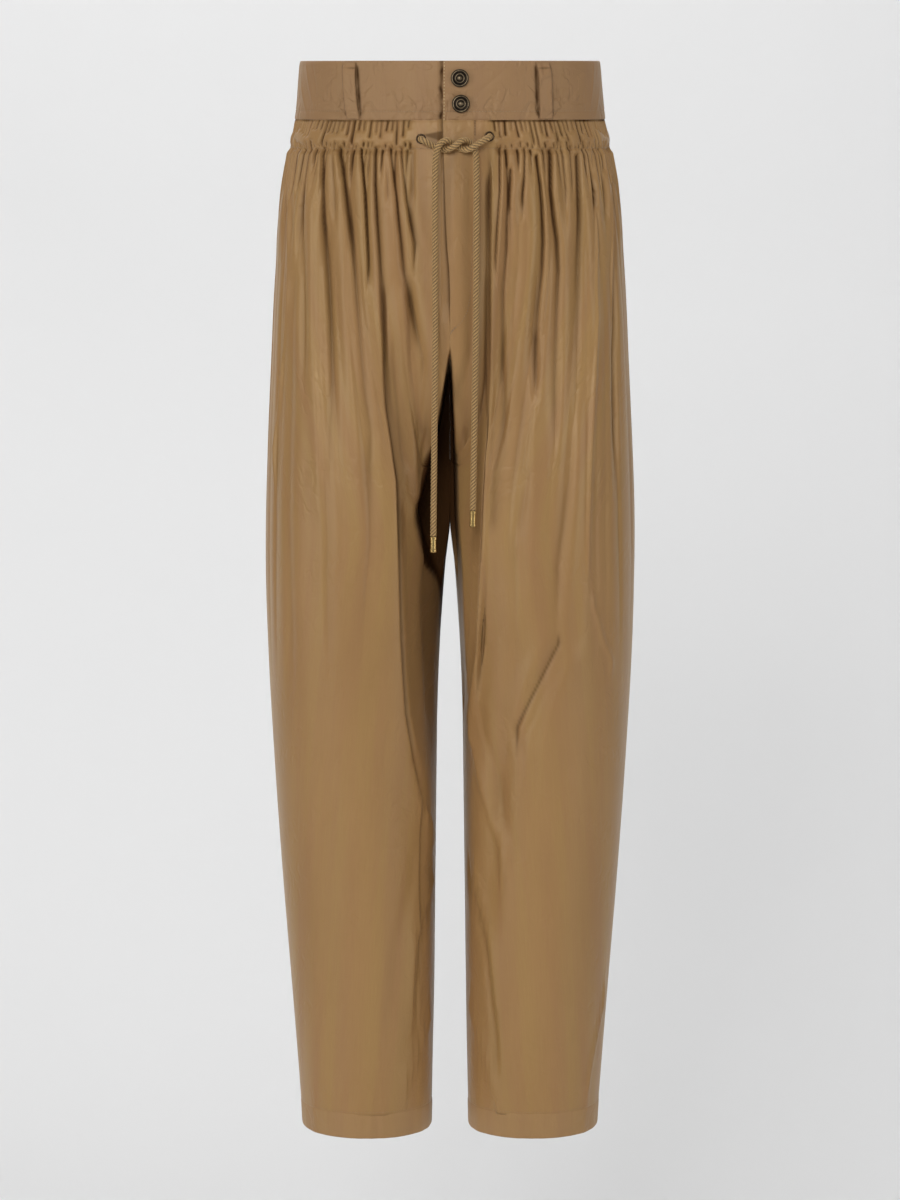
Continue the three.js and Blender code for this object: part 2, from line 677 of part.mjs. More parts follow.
function cordGeometry(name) {
  const points = cordPoints(name);
  const ring = [];
  for (let k = 0; k < CORD_SIDES; k += 1) {
    const angle = (2 * Math.PI * k) / CORD_SIDES;
    ring.push(new THREE.Vector2(CORD_RADIUS * Math.cos(angle), CORD_RADIUS * Math.sin(angle)));
  }
  return new THREE.ExtrudeGeometry(new THREE.Shape(ring), {
    steps: CORD_STEPS_PER_POINT * (points.length - 1),
    extrudePath: new CordRoute(points, false, 'centripetal'),
    bevelEnabled: false,
  });
}

function tipGeometry() {
  const r = CORD_RADIUS;
  const profile = [
    [0, -TIP_LENGTH], [r * 0.75, -TIP_LENGTH], [r, -TIP_LENGTH + 0.8], [r, -TIP_LENGTH + 3],
    [r * 0.88, -TIP_LENGTH + 3.5], [r * 0.88, -3.5], [r, -3], [r, -0.6], [r * 0.85, 0], [0, 0],
  ];
  const geometry = new THREE.LatheGeometry(profile.map(([x, h]) => new THREE.Vector2(x, h)), 16);
  return geometry.rotateX(Math.PI / 2);
}

// ---- Assembly ----
const cloth = (colour) => new THREE.MeshStandardMaterial({ color: colour, roughness: 0.6, metalness: 0 });
const metal = (colour) => new THREE.MeshStandardMaterial({ color: colour, roughness: 0.4, metalness: 0.9 });

const group = new THREE.Group();

function place(name, geometry, material) {
  const mesh = new THREE.Mesh(geometry, material);
  mesh.name = name;
  group.add(mesh);
  return mesh;
}

place('waistband_right', bandHalf(-1), cloth(0x93745a));
place('waistband_left', bandHalf(1), cloth(0x93745a));
PANELS.forEach((panel) => place(panel.name, legPanel(panel), cloth(0x9b7a55)));
place('hem_right', hemBand(-1), cloth(0x9b7a58));
place('hem_left', hemBand(1), cloth(0x9b7a58));
LOOPS.forEach(({ name, side, place: where, lean }) => {
  seatOnBand(place(name, loopGeometry(), cloth(0x93745a)), side, where, 0, lean);
});
BUTTONS.forEach(({ name, x, z }) => {
  const length = girth(BAND_PANELS.front, z);
  seatOnBand(place(name, buttonGeometry(), metal(0x5a4a38)), 1, x / length, z);
});
EYELETS.forEach(({ name, panel, x, z }) => {
  seatOnPanel(place(name, eyeletGeometry(), metal(0x4a3c2c)), panel, x, z);
});
Object.keys(CORD_ROUTES).forEach((name) => {
  place(name, cordGeometry(name), cloth(0xa5875a));
  const points = cordPoints(name);
  const end = points[points.length - 1];
  const tip = place(name.replace('drawstring', 'cord_tip'), tipGeometry(), metal(0xa08850));
  const before = points[points.length - 2];
  const up = before.clone().sub(end).normalize();
  tip.quaternion.setFromUnitVectors(new THREE.Vector3(0, 0, 1), up);
  tip.position.copy(end).addScaledVector(up, -SEAM);
});

export default group;
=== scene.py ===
# %% [markdown]
# # Cropped wide-leg trousers
# This notebook dresses the imported frame of a pair of trousers: a buttoned waistband, four leg panels gathered by a
# drawstring, hem bands and the cord itself. The frame is loaded first.

# %% Load the frame
import math

import bmesh
import bpy
import numpy as np
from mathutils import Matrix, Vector


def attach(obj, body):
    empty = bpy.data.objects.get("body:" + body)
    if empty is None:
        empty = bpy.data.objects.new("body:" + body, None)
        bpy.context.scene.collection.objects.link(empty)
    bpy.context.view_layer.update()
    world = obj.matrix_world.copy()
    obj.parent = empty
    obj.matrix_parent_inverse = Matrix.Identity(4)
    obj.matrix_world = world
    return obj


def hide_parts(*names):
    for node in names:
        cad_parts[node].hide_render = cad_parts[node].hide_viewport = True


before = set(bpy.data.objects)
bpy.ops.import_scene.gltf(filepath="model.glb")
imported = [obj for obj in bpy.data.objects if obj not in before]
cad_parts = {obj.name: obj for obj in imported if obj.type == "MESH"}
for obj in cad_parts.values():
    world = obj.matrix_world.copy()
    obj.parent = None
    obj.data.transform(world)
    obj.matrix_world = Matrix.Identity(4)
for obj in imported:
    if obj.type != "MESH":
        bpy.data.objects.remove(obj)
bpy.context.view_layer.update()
print("frame nodes:", len(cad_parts))

# %% [markdown]
# ## Driving sizes
# The garment is drawn in millimetres, as a pattern cutter would, and every mesh is made in metres by one factor.
# The sections say how wide and how deep the filled-out garment is at each height. Both legs share them, and the
# space between the legs has a table of its own.

# %% Driving sizes
MM = 0.001
WAIST_EDGE, BAND_SEAM, CASING_STITCH = 27.0, -26.6, -52.0
FLY_END, FLAT_AGAIN, CROTCH = -190.0, -215.0, -345.0
TURN_TOP, TURN_BOTTOM, SEAM_REACH = -130.0, -430.0, 0.4
INSEAM_FORWARD = 5.0
HEM_LINE, HEM_EDGE = -957.0, -981.0
CLOTH, BAND_CLOTH, SEAM = 1.2, 2.0, 0.3
FULLNESS = 2.25
LAP_TOP, UNDERLAP, BAND_UNDERLAP = 6.4, 8.0, 25.0
STEP_START, STEP_END = 7.4, 11.5

SECTION_COLUMNS = ("z", "side", "front", "back")
SECTIONS = np.array([
    (27, 139.5, 97, 99), (-26, 144.6, 101, 104), (-52, 149.1, 104, 109), (-102, 157.9, 109, 120),
    (-176, 164.4, 112, 130), (-251, 168.1, 113, 133), (-342, 172, 113, 128), (-426, 173.5, 111, 118),
    (-516, 171.5, 106, 108), (-631, 165.4, 96, 97), (-747, 157.8, 85, 87), (-863, 149, 75, 77),
    (-957, 142.1, 68, 70), (-981, 140.7, 67, 69),
], float)
LEG_SPACE = np.array([
    (-345, 0.02), (-402, 0.02), (-427, 2.6), (-440, 4.2), (-478, 7.1), (-516, 9.5), (-573, 11.8), (-631, 12.7),
    (-747, 14.2), (-863, 15.5), (-981, 18.2),
], float)
OPENING_LAP = np.array([(-26, 6.4), (-102, 4.5), (-140, 2.7), (-165, 0.6), (-190, -0.15)], float)


def smooth(value):
    t = np.clip(value, 0.0, 1.0)
    return t * t * (3 - 2 * t)


def table_curve(table, column, z):
    """A column of a table whose first column is the height, on a smooth curve through its rows."""
    heights, values = table[:, 0], table[:, column]
    z = np.clip(np.asarray(z, float), heights[-1], heights[0])
    i = np.clip(np.searchsorted(-heights, -z, side="left") - 1, 0, len(heights) - 2)
    before, after = np.maximum(i - 1, 0), np.minimum(i + 2, len(heights) - 1)
    span = heights[i + 1] - heights[i]
    t = (z - heights[i]) / span
    slope_a = (values[i + 1] - values[before]) / (heights[i + 1] - heights[before]) * span
    slope_b = (values[after] - values[i]) / (heights[after] - heights[i]) * span
    t2, t3 = t * t, t * t * t
    return ((2 * t3 - 3 * t2 + 1) * values[i] + (t3 - 2 * t2 + t) * slope_a
            + (3 * t2 - 2 * t3) * values[i + 1] + (t3 - t2) * slope_b)


print("half width at the thigh:", round(float(table_curve(SECTIONS, 1, -426)), 1), "mm")

# %% [markdown]
# ## The camera
# The garment is seen from straight in front, from about four metres away, with the lens level with the waist. That
# is why the waistband's edge looks straight while the hems, a metre lower, show as curves. The long lens keeps the
# two legs nearly parallel.

# %% Camera
CAMERA_AWAY, CAMERA_HEIGHT, AIM_HEIGHT = 4.0, 0.016, -0.478
LENS_MM, SENSOR_MM = 128.04, 36.0
camera_data = bpy.data.cameras.new("camera")
camera_data.lens = LENS_MM
camera_data.sensor_width = SENSOR_MM
camera_data.clip_end = 50
camera = bpy.data.objects.new("camera", camera_data)
bpy.context.scene.collection.objects.link(camera)
camera.location = (0, -CAMERA_AWAY, CAMERA_HEIGHT)
camera.rotation_euler = (Vector((0, 0, AIM_HEIGHT)) - camera.location).to_track_quat("-Z", "Y").to_euler()
bpy.context.scene.camera = camera
print("camera looks down by", round(math.degrees(math.atan((CAMERA_HEIGHT - AIM_HEIGHT) / CAMERA_AWAY)), 1), "degrees")

# %% [markdown]
# ## The bare form
# Each leg is cut as a front and a back panel. A panel is read by its height and by its share of the way from the
# centre seam to the side seam. Above the fork it lies on the body's rounded section, below the crotch on the
# leg's, and in between it turns from one to the other, so its inner edge draws the crotch curve.

# %% The bare form
ARC_STEPS = 240
PANELS = {
    "front_right": {"side": -1, "face": -1, "flat": 35.0, "gathers": 25, "fork": -228.0},
    "front_left": {"side": 1, "face": -1, "flat": 40.0, "gathers": 25, "fork": -228.0},
    "back_right": {"side": -1, "face": 1, "flat": 4.0, "gathers": 29, "fork": -205.0},
    "back_left": {"side": 1, "face": 1, "flat": 4.0, "gathers": 29, "fork": -205.0},
}
for panel_name, panel in PANELS.items():
    panel["name"] = panel_name


def rounded(value):
    return np.sign(value) * np.abs(value) ** (2 / FULLNESS)


def by_length(points, share):
    """Points of a polyline at shares of its length."""
    steps = np.hypot(*np.diff(points, axis=0).T)
    along = np.concatenate([[0], np.cumsum(steps)])
    wanted = np.clip(np.abs(share), 0, 1) * along[-1]
    x = np.interp(wanted, along, points[:, 0]) * np.where(share < 0, -1, 1)
    return x, np.interp(wanted, along, points[:, 1]), along[-1]


def section_curves(face, z):
    side, inner = table_curve(SECTIONS, 1, z), table_curve(LEG_SPACE, 1, z)
    depth = table_curve(SECTIONS, 2 if face < 0 else 3, z)
    t = np.linspace(0, 1, ARC_STEPS)
    quarter, half = t * math.pi / 2, t * math.pi
    body = np.column_stack([side * rounded(np.sin(quarter)), face * depth * rounded(np.cos(quarter))])
    leg = np.column_stack([
        (side + inner) / 2 - (side - inner) / 2 * rounded(np.cos(half)),
        face * depth * rounded(np.sin(half)) - INSEAM_FORWARD * (1 - t),
    ])
    return body, leg


def parted(panel, share, z):
    t = np.clip((panel["fork"] - z) / (panel["fork"] - CROTCH), 0, 1)
    at_seam = 1 - np.sqrt(1 - t * t)
    away = smooth((TURN_TOP - z) / (TURN_TOP - TURN_BOTTOM))
    return at_seam + (away - at_seam) * smooth(share / SEAM_REACH)


def bare(panel, share, z):
    """x and y of the panel without folds, on the +X side. share has a row for each height in z."""
    x, y = np.empty_like(share), np.empty_like(share)
    for r, height in enumerate(z):
        body, leg = section_curves(panel["face"], height)
        legs = parted(panel, share[r], height)
        bx, by, _ = by_length(body, share[r])
        lx, ly, _ = by_length(leg, np.maximum(share[r], 0))
        x[r], y[r] = bx + (lx - bx) * legs, by + (ly - by) * legs
    return x, y


def girth(panel, z):
    """Length round the panel from centre to side, for each height."""
    lengths = []
    for height in np.atleast_1d(z):
        body, leg = section_curves(panel["face"], height)
        a, b = by_length(body, np.zeros(1))[2], by_length(leg, np.zeros(1))[2]
        lengths.append(a + (b - a) * float(parted(panel, SEAM_REACH, height)))
    return np.array(lengths)


NORMAL_SHARE, NORMAL_HEIGHT = 0.012, 5.0


def outward(panel, share, z):
    low, high = np.maximum(share - NORMAL_SHARE, -1), np.minimum(share + NORMAL_SHARE, 1)
    (ax, ay), (bx, by) = bare(panel, low, z), bare(panel, high, z)
    (cx, cy), (dx, dy) = bare(panel, share, z - NORMAL_HEIGHT), bare(panel, share, z + NORMAL_HEIGHT)
    along = np.stack([bx - ax, by - ay, np.zeros_like(ax)], axis=-1)
    up = np.stack([dx - cx, dy - cy, np.full_like(ax, 2 * NORMAL_HEIGHT)], axis=-1)
    normal = np.cross(along, up) * (-panel["face"])
    return normal / np.linalg.norm(normal, axis=-1, keepdims=True)


print("one thigh is", round(2 * float(girth(PANELS["front_left"], -430)[0])), "mm round in front and behind together")

# %% [markdown]
# ## Folds
# Satin gathered on a cord falls in rounded ridges with narrow valleys between them. The large folds differ so much
# from each other that a formula would look like corrugated card, so each has a row of its own: its path down the
# panel as (height, distance from the centre), how far it stands out or sinks in, how wide it is towards the centre
# and the side, how quickly it fades at its two ends, and its kind: soft, creased, or keen all the way down.

# %% Fold tables
SOFT, SHARP, KEEN = 0, 1, 2
FOLDS = {
    "front_right": [
        # path, height, inner, outer, fade at top, fade at foot, crease
        ([(-55, 139), (-81, 145), (-120, 147)], -1.6, 4, 4, 6, 40, SOFT),
        ([(-55, 134), (-81, 138), (-104, 138), (-154, 137), (-217, 135)], -2.6, 5, 6, 8, 90, SOFT),
        ([(-53, 118), (-117, 118), (-154, 116), (-208, 112), (-263, 110)], -5.2, 4.2, 3.4, 6, 70, SHARP),
        ([(-60, 108), (-99, 106)], -2.6, 3, 3, 10, 30, SOFT),
        ([(-53, 103), (-67, 100), (-90, 97), (-113, 94.5), (-140, 90.5), (-190, 86), (-227, 82.5), (-268, 78),
          (-309, 72)], -6, 4.6, 4, 6, 70, SHARP),
        ([(-54, 82), (-72, 80), (-94, 78), (-117, 77), (-156, 75.4)], -5.2, 2.2, 2.4, 5, 34, SHARP),
        ([(-53, 68.3), (-85, 68.5), (-117, 67), (-163, 64), (-208, 61.6), (-235, 60)], -4.4, 3.6, 1.9, 5, 60, KEEN),
        ([(-58, 57.4), (-90, 56.6)], -2.4, 2.2, 2.2, 4, 20, SOFT),
        ([(-53, 55), (-72, 52.5), (-94, 49.6), (-117, 47.5), (-136, 45.5), (-163, 43), (-195, 37), (-218, 32),
          (-245, 26)], -5.2, 4.2, 3.6, 5, 40, SHARP),
        ([(-53, 45), (-81, 42), (-99, 40), (-118, 37), (-138, 32.5)], -4.4, 3.2, 3.2, 5, 36, SHARP),
        ([(-100, 38), (-120, 33), (-145, 24)], -1.5, 8, 5, 20, 34, SOFT),
        ([(-53, 33.7), (-85, 33.6)], -2.2, 2.4, 2.6, 4, 24, SOFT),
        # the long fold edge from the hip to the inside of the knee, and the plane turned in beside it
        ([(-200, 65), (-241, 63.2), (-287, 61), (-321, 56), (-356, 51.5), (-397, 50), (-452, 49), (-501, 48),
          (-533, 46.5), (-574, 44), (-616, 37.5), (-650, 30.5), (-663, 25), (-689, 16)], 3, 2.6, 20, 60, 40, SOFT),
        ([(-190, 62.4), (-241, 59.8), (-287, 57.2), (-321, 52), (-356, 47.6), (-397, 46.3), (-452, 45), (-501, 44),
          (-533, 42.5), (-574, 40), (-616, 33.5), (-650, 26.5)], -4, 8, 2.2, 40, 260, KEEN),
        ([(-200, 45), (-260, 39), (-320, 33), (-370, 30)], 1.7, 5, 6, 30, 50, SOFT),
        ([(-190, 37), (-250, 31), (-310, 27)], -1.7, 5, 5, 30, 50, SOFT),
        ([(-240, 51), (-300, 45), (-345, 39.5), (-380, 37)], -1.9, 6, 4, 30, 50, SOFT),
        ([(-354, 40), (-370, 39), (-388, 32), (-430, 24)], 3, 4, 8, 25, 30, SOFT),
        ([(-330, 20), (-400, 20), (-470, 21), (-560, 19)], -5, 10, 10, 50, 60, SOFT),
        ([(-110, 150), (-184, 151), (-229, 154.6), (-329, 164)], 2, 3.4, 1.7, 30, 60, SOFT),
        ([(-150, 84), (-230, 74), (-320, 66)], 1.8, 6, 8, 40, 60, SOFT),
        ([(-120, 126), (-230, 122), (-330, 120)], 1.4, 8, 8, 40, 70, SOFT),
        ([(-300, 96), (-420, 92), (-560, 88), (-700, 84)], 1.6, 18, 18, 80, 120, SOFT),
        ([(-330, 128), (-430, 126), (-560, 118), (-690, 110)], -1.5, 12, 14, 80, 120, SOFT),
        ([(-280, 148), (-380, 150), (-500, 148)], -2.2, 7, 8, 70, 90, SOFT),
        ([(-640, 60), (-740, 64), (-840, 68), (-930, 70)], 1.5, 20, 22, 80, 40, SOFT),
        ([(-747, 16), (-795, 33), (-852, 36)], 2.2, 2, 7, 30, 40, SOFT),
        ([(-872, 18), (-930, 42)], 2, 2, 6, 20, 25, SOFT),
        ([(-745, 12), (-793, 27), (-850, 30)], -1.8, 4, 3, 30, 40, SOFT),
        ([(-730, 34), (-800, 50), (-880, 58)], -1.6, 8, 9, 40, 50, SOFT),
        ([(-700, 118), (-800, 114), (-900, 108)], -1.3, 10, 12, 70, 50, SOFT),
    ],
    "front_left": [
        ([(-53, 45.8), (-90, 45.5), (-117, 43.8), (-150, 42)], -4.6, 3.6, 1.8, 5, 30, SHARP),
        ([(-53, 68.6), (-76, 68.2), (-94, 66.6)], -3.6, 2.4, 2.4, 4, 22, SHARP),
        ([(-72, 55.7), (-81, 55.3), (-99, 53.9), (-117, 52.4), (-144, 52.2), (-181, 49.2), (-254, 48.4)],
         -5.0, 3.8, 3.4, 8, 70, SHARP),
        ([(-60, 80), (-85, 83.4), (-104, 85.1), (-136, 86.6), (-163, 85.9), (-199, 81.9), (-236, 79.5)],
         -5.8, 3.6, 3.2, 6, 64, SHARP),
        ([(-55, 93.3), (-90, 93.4), (-113, 96), (-136, 99.7), (-163, 101.3), (-208, 99.1), (-236, 98.2), (-272, 97)],
         -6.4, 4.2, 4.2, 6, 74, SHARP),
        ([(-55, 103), (-90, 106.4)], -3, 2.4, 2.4, 5, 26, SHARP),
        ([(-55, 110.5), (-81, 113)], -2.4, 2.2, 2.2, 5, 22, SOFT),
        ([(-60, 118.2), (-90, 119.2), (-117, 120.4), (-190, 120.3), (-227, 118.9), (-272, 117.5), (-309, 113.5),
          (-354, 110.3), (-433, 99)], -5.8, 4.8, 4.8, 7, 90, SHARP),
        ([(-60, 131), (-90, 133)], -2.4, 3, 3, 8, 40, SOFT),
        ([(-76, 142), (-99, 144)], -2.6, 4, 4, 14, 50, SOFT),
        ([(-99, 151.6), (-144, 153.6), (-217, 154.9), (-281, 153.6)], -3.8, 5, 5, 30, 110, SOFT),
        # the deep shaded trough beside the cord, and the lit fold edge that hangs beyond it
        ([(-85, 36), (-126, 35.5), (-200, 35), (-260, 34.2), (-298, 33.4), (-333, 31.5), (-366, 29.5), (-427, 27.5),
          (-480, 25)], -4.2, 7, 3.6, 36, 60, KEEN),
        ([(-99, 39.5), (-150, 38.8), (-217, 38.2), (-260, 37.4), (-298, 36.6), (-333, 34.8), (-366, 32.8), (-427, 30.5),
          (-483, 28), (-524, 25), (-574, 20)], 3.2, 2.4, 12, 40, 50, SOFT),
        ([(-330, 17), (-400, 15), (-470, 15), (-550, 12)], -4, 8, 7, 50, 60, SOFT),
        ([(-100, 134.5), (-207, 135), (-333, 128), (-402, 126)], 1.9, 1.7, 3.4, 30, 60, SOFT),
        ([(-90, 149), (-126, 150), (-190, 151)], 1.6, 1.7, 3.4, 20, 50, SOFT),
        ([(-216, 134), (-306, 131), (-351, 128), (-452, 125)], 1.6, 9, 9, 50, 80, SOFT),
        ([(-320, 117), (-407, 112), (-480, 105)], 1.8, 7, 7, 50, 70, SOFT),
        ([(-283, 76), (-373, 75), (-430, 74)], 1.6, 6, 6, 40, 70, SOFT),
        ([(-165, 60), (-195, 57), (-230, 59)], -1.8, 4, 5, 24, 40, SOFT),
        ([(-228, 79), (-262, 77)], -2, 4, 4, 18, 26, SOFT),
        ([(-353, 70), (-392, 64)], -1.6, 4, 4, 14, 26, SOFT),
        # drag creases at the knee
        ([(-506, 100), (-524, 91), (-538, 84), (-560, 73), (-585, 61)], -3.2, 4.6, 6.4, 14, 34, KEEN),
        ([(-545, 88), (-575, 76), (-600, 66)], -1.6, 4, 4, 20, 30, SOFT),
        ([(-520, 64), (-570, 53), (-640, 44), (-720, 40)], -3.2, 15, 12, 50, 110, SOFT),
        ([(-512, 84), (-545, 68), (-580, 56)], 1.4, 9, 7, 24, 50, SOFT),
        ([(-520, 112), (-560, 96), (-600, 86)], 2.2, 6, 14, 24, 50, SOFT),
        ([(-620, 52), (-680, 42), (-730, 34), (-790, 28)], -1.8, 16, 14, 70, 80, SOFT),
        ([(-470, 132), (-500, 140), (-525, 150)], 1.6, 3, 4, 20, 24, SOFT),
        ([(-585, 17), (-642, 28), (-680, 37.5), (-708, 47)], 2.4, 3, 8, 30, 40, SOFT),
        ([(-590, 30), (-650, 44), (-700, 58)], -1.6, 6, 8, 30, 50, SOFT),
        ([(-600, 96), (-720, 98), (-840, 98)], 1.6, 18, 20, 90, 90, SOFT),
        ([(-738, 22), (-805, 38), (-892, 49)], 2.2, 2, 8, 30, 40, SOFT),
        ([(-864, 19), (-950, 45)], 2, 2, 7, 24, 20, SOFT),
        ([(-735, 17), (-803, 32), (-890, 43)], -2.0, 4, 3, 30, 40, SOFT),
        ([(-855, 146), (-928, 131)], 2, 2.4, 3, 24, 24, SOFT),
    ],
    "back_right": [
        ([(-54, 24), (-120, 23), (-190, 20)], -4.6, 3.4, 3.4, 5, 50, SHARP),
        ([(-54, 44), (-110, 46), (-180, 47), (-240, 48)], -5, 3.8, 3.8, 5, 60, SHARP),
        ([(-54, 61), (-100, 62)], -3.2, 2.6, 2.6, 5, 26, SHARP),
        ([(-54, 78), (-120, 80), (-200, 79), (-280, 74)], -5.4, 4, 4, 5, 70, SHARP),
        ([(-54, 96), (-110, 98), (-160, 98)], -4, 3, 3, 5, 40, SHARP),
        ([(-54, 112), (-130, 116), (-220, 115), (-300, 110)], -4.6, 4, 4.4, 5, 80, SHARP),
        ([(-60, 130), (-120, 134), (-190, 136)], -3.2, 4, 4, 8, 70, SOFT),
        ([(-230, 16), (-300, 30), (-370, 44), (-450, 58)], -3.6, 8, 7, 50, 70, SOFT),
        ([(-345, 34), (-430, 50), (-520, 66), (-600, 78)], 2, 10, 10, 60, 80, SOFT),
        ([(-400, 118), (-560, 112), (-700, 104)], 1.8, 16, 16, 90, 100, SOFT),
        ([(-560, 50), (-620, 66), (-660, 82)], -2, 6, 6, 30, 40, SOFT),
        ([(-640, 40), (-760, 50), (-880, 58)], 1.4, 16, 18, 80, 60, SOFT),
    ],
    "back_left": [
        ([(-54, 30), (-110, 30), (-170, 27)], -4.8, 3.4, 3.4, 5, 50, SHARP),
        ([(-54, 52), (-110, 54), (-200, 54), (-260, 52)], -5, 4, 4, 5, 60, SHARP),
        ([(-54, 68), (-90, 69)], -3, 2.6, 2.6, 5, 26, SHARP),
        ([(-54, 88), (-120, 90), (-200, 88), (-300, 82)], -5.4, 4, 4, 5, 70, SHARP),
        ([(-54, 104), (-110, 107), (-150, 107)], -3.6, 3, 3, 5, 40, SHARP),
        ([(-54, 121), (-130, 126), (-220, 126), (-290, 121)], -4.6, 4, 4.4, 5, 80, SHARP),
        ([(-60, 138), (-120, 142), (-200, 146)], -3, 4, 4, 8, 70, SOFT),
        ([(-235, 14), (-310, 28), (-390, 44), (-470, 60)], -3.6, 8, 7, 50, 70, SOFT),
        ([(-350, 32), (-440, 50), (-540, 68), (-630, 82)], 2, 10, 10, 60, 80, SOFT),
        ([(-420, 122), (-580, 116), (-720, 106)], 1.8, 16, 16, 90, 100, SOFT),
        ([(-600, 48), (-650, 62), (-700, 80)], -1.8, 6, 6, 30, 40, SOFT),
        ([(-680, 44), (-780, 52), (-900, 60)], 1.4, 16, 18, 80, 60, SOFT),
    ],
}
print("folds placed by hand:", sum(len(rows) for rows in FOLDS.values()))

# %% [markdown]
# ## Gathers and relief
# The gathers are valleys too, only shorter. Between two long folds of the table a seeded generator sets a few small
# ones, as far apart as a gathering thread would, each with a length of its own and leaning towards a neighbour, as
# small folds run together into larger ones. Inside the casing there are other, shorter ridges, pinched at the
# waistband seam and again at the casing's stitching, and swollen between by the cord. All relief dies away at the
# seams, where two layers are sewn together.

# %% Gathers and relief
CALM_MM = 4.0
GATHER_GAP, GATHER_TOP = (4.4, 7.0), CASING_STITCH - 1.5
TUCK_GAP, FOOT_GAP = (3.8, 6.6), (3.4, 6.0)
LONG_FADE, NARROWEST = 1.6, 1.45
CASING_SWELL, STITCH_PINCH, SEAM_PINCH, RIDGE_LIFT = 0.7, 0.8, 0.9, 1.9
BLEND, CREASE_DEPTH, DYING = 3, 1.15, (0.8, 1.3)


def drift(along, seed, scale=1.0):
    """A smooth uneven wave from -1 to 1, the same on every run."""
    return (np.sin(along * 11.3 * scale + seed) + np.sin(along * 23.9 * scale + 2.3 * seed)
            + 0.7 * np.sin(along * 41.7 * scale + 0.7 * seed)) / 2.7


def sink(deep, s, near, place, depth, inner, outer, tilt=0.0):
    """Adds a valley: steep on its outer side, where the next ridge stands over it, and gentle towards the centre.

    Valleys are added as cubes, so two that run together keep the depth of the deeper one. near and place have a value
    for each row, and where a valley dies away it also grows wide.
    """
    rows = np.nonzero(near > 0)[0]
    if len(rows):
        some = slice(rows[0], rows[-1] + 1)
        away = (s[some] - place[some, None]) / np.hypot(1, np.broadcast_to(tilt, place.shape)[some, None])
        inner = np.maximum(inner * (1 + DYING[0] * (1 - near)), NARROWEST)
        outer = np.maximum(outer * (1 + DYING[1] * (1 - near)), NARROWEST)
        width = np.where(away < 0, inner[some, None], outer[some, None])
        deep[some] += (depth * near[some, None] ** 1.3 * np.exp(-(np.abs(away) / width) ** 1.3)) ** BLEND


def small_gathers(panel):
    """Short valleys between the long ones: (distance along the cloth at the top, length, lean, depth, width)."""
    picked = np.random.default_rng(40 + 3 * panel["side"] + 5 * panel["face"])
    length = float(girth(panel, GATHER_TOP)[0])
    bare_share = np.linspace(0, 1, 400)[None, :]
    x, _ = bare(panel, bare_share, np.array([GATHER_TOP]))
    longs = sorted(float(np.interp(path[0][1], x[0], bare_share[0] * length))
                   for path, rise, *_ in FOLDS[panel["name"]] if path[0][0] > -80 and rise < 0)
    stops = [panel["flat"] - 2] + longs + [length - 3]
    made = []
    for a, b in zip(stops, stops[1:]):
        count = int(round((b - a) / picked.uniform(*GATHER_GAP))) - 1
        for k in range(max(count, 0)):
            at = a + (b - a) * (k + 1 + picked.uniform(-0.2, 0.2)) / (count + 1)
            nearer = a if at - a < b - at else b
            lean = (nearer - at) * picked.uniform(0.1, 0.6)
            made.append((at, picked.uniform(30, 90) + (60 if picked.random() < 0.4 else 0), lean,
                         picked.uniform(3.8, 5.8), picked.uniform(1.9, 2.6)))
    return made


def casing_tucks(panel):
    """Creases of the casing: (distance along the cloth, top, foot, lean, depth, width)."""
    picked = np.random.default_rng(90 + 3 * panel["side"] + 5 * panel["face"])
    length, flat = panel["casing_length"], panel["flat"]
    made = []
    for gap, hangs in ((TUCK_GAP, True), (FOOT_GAP, False)):
        at = flat - 3
        while at < length - 6:
            at += picked.uniform(*gap)
            lean = picked.uniform(-0.06, 0.14) + 0.26 * (at - flat) / (length - flat)
            if hangs:
                top, foot = -24.0, -53 if picked.random() < 0.2 else picked.uniform(-46, -37)
            else:
                top, foot = picked.uniform(-48, -43), picked.uniform(-60, -54)
            made.append((at, top, foot, lean, picked.uniform(2.2, 3.8), picked.uniform(1.0, 1.6)))
    return made


def soft_folds(panel):
    """Long soft troughs of the hanging cloth: (distance, top, foot, lean, depth, inner, outer)."""
    picked = np.random.default_rng(150 + 3 * panel["side"] + 5 * panel["face"])
    made, at = [], panel["flat"] + 4
    while at < panel["thigh_length"] - 8:
        at += picked.uniform(9, 19)
        made.append((at, picked.uniform(-150, -70), picked.uniform(-600, -300), picked.uniform(-7, 5),
                     picked.uniform(0.8, 2.3), picked.uniform(6, 11), picked.uniform(2.8, 5)))
    return made


for panel in PANELS.values():
    panel["casing_length"], panel["thigh_length"] = (float(girth(panel, z)[0]) for z in (-40, -300))
    panel["small"] = small_gathers(panel)
    panel["tucks"] = casing_tucks(panel)
    panel["soft"] = soft_folds(panel)


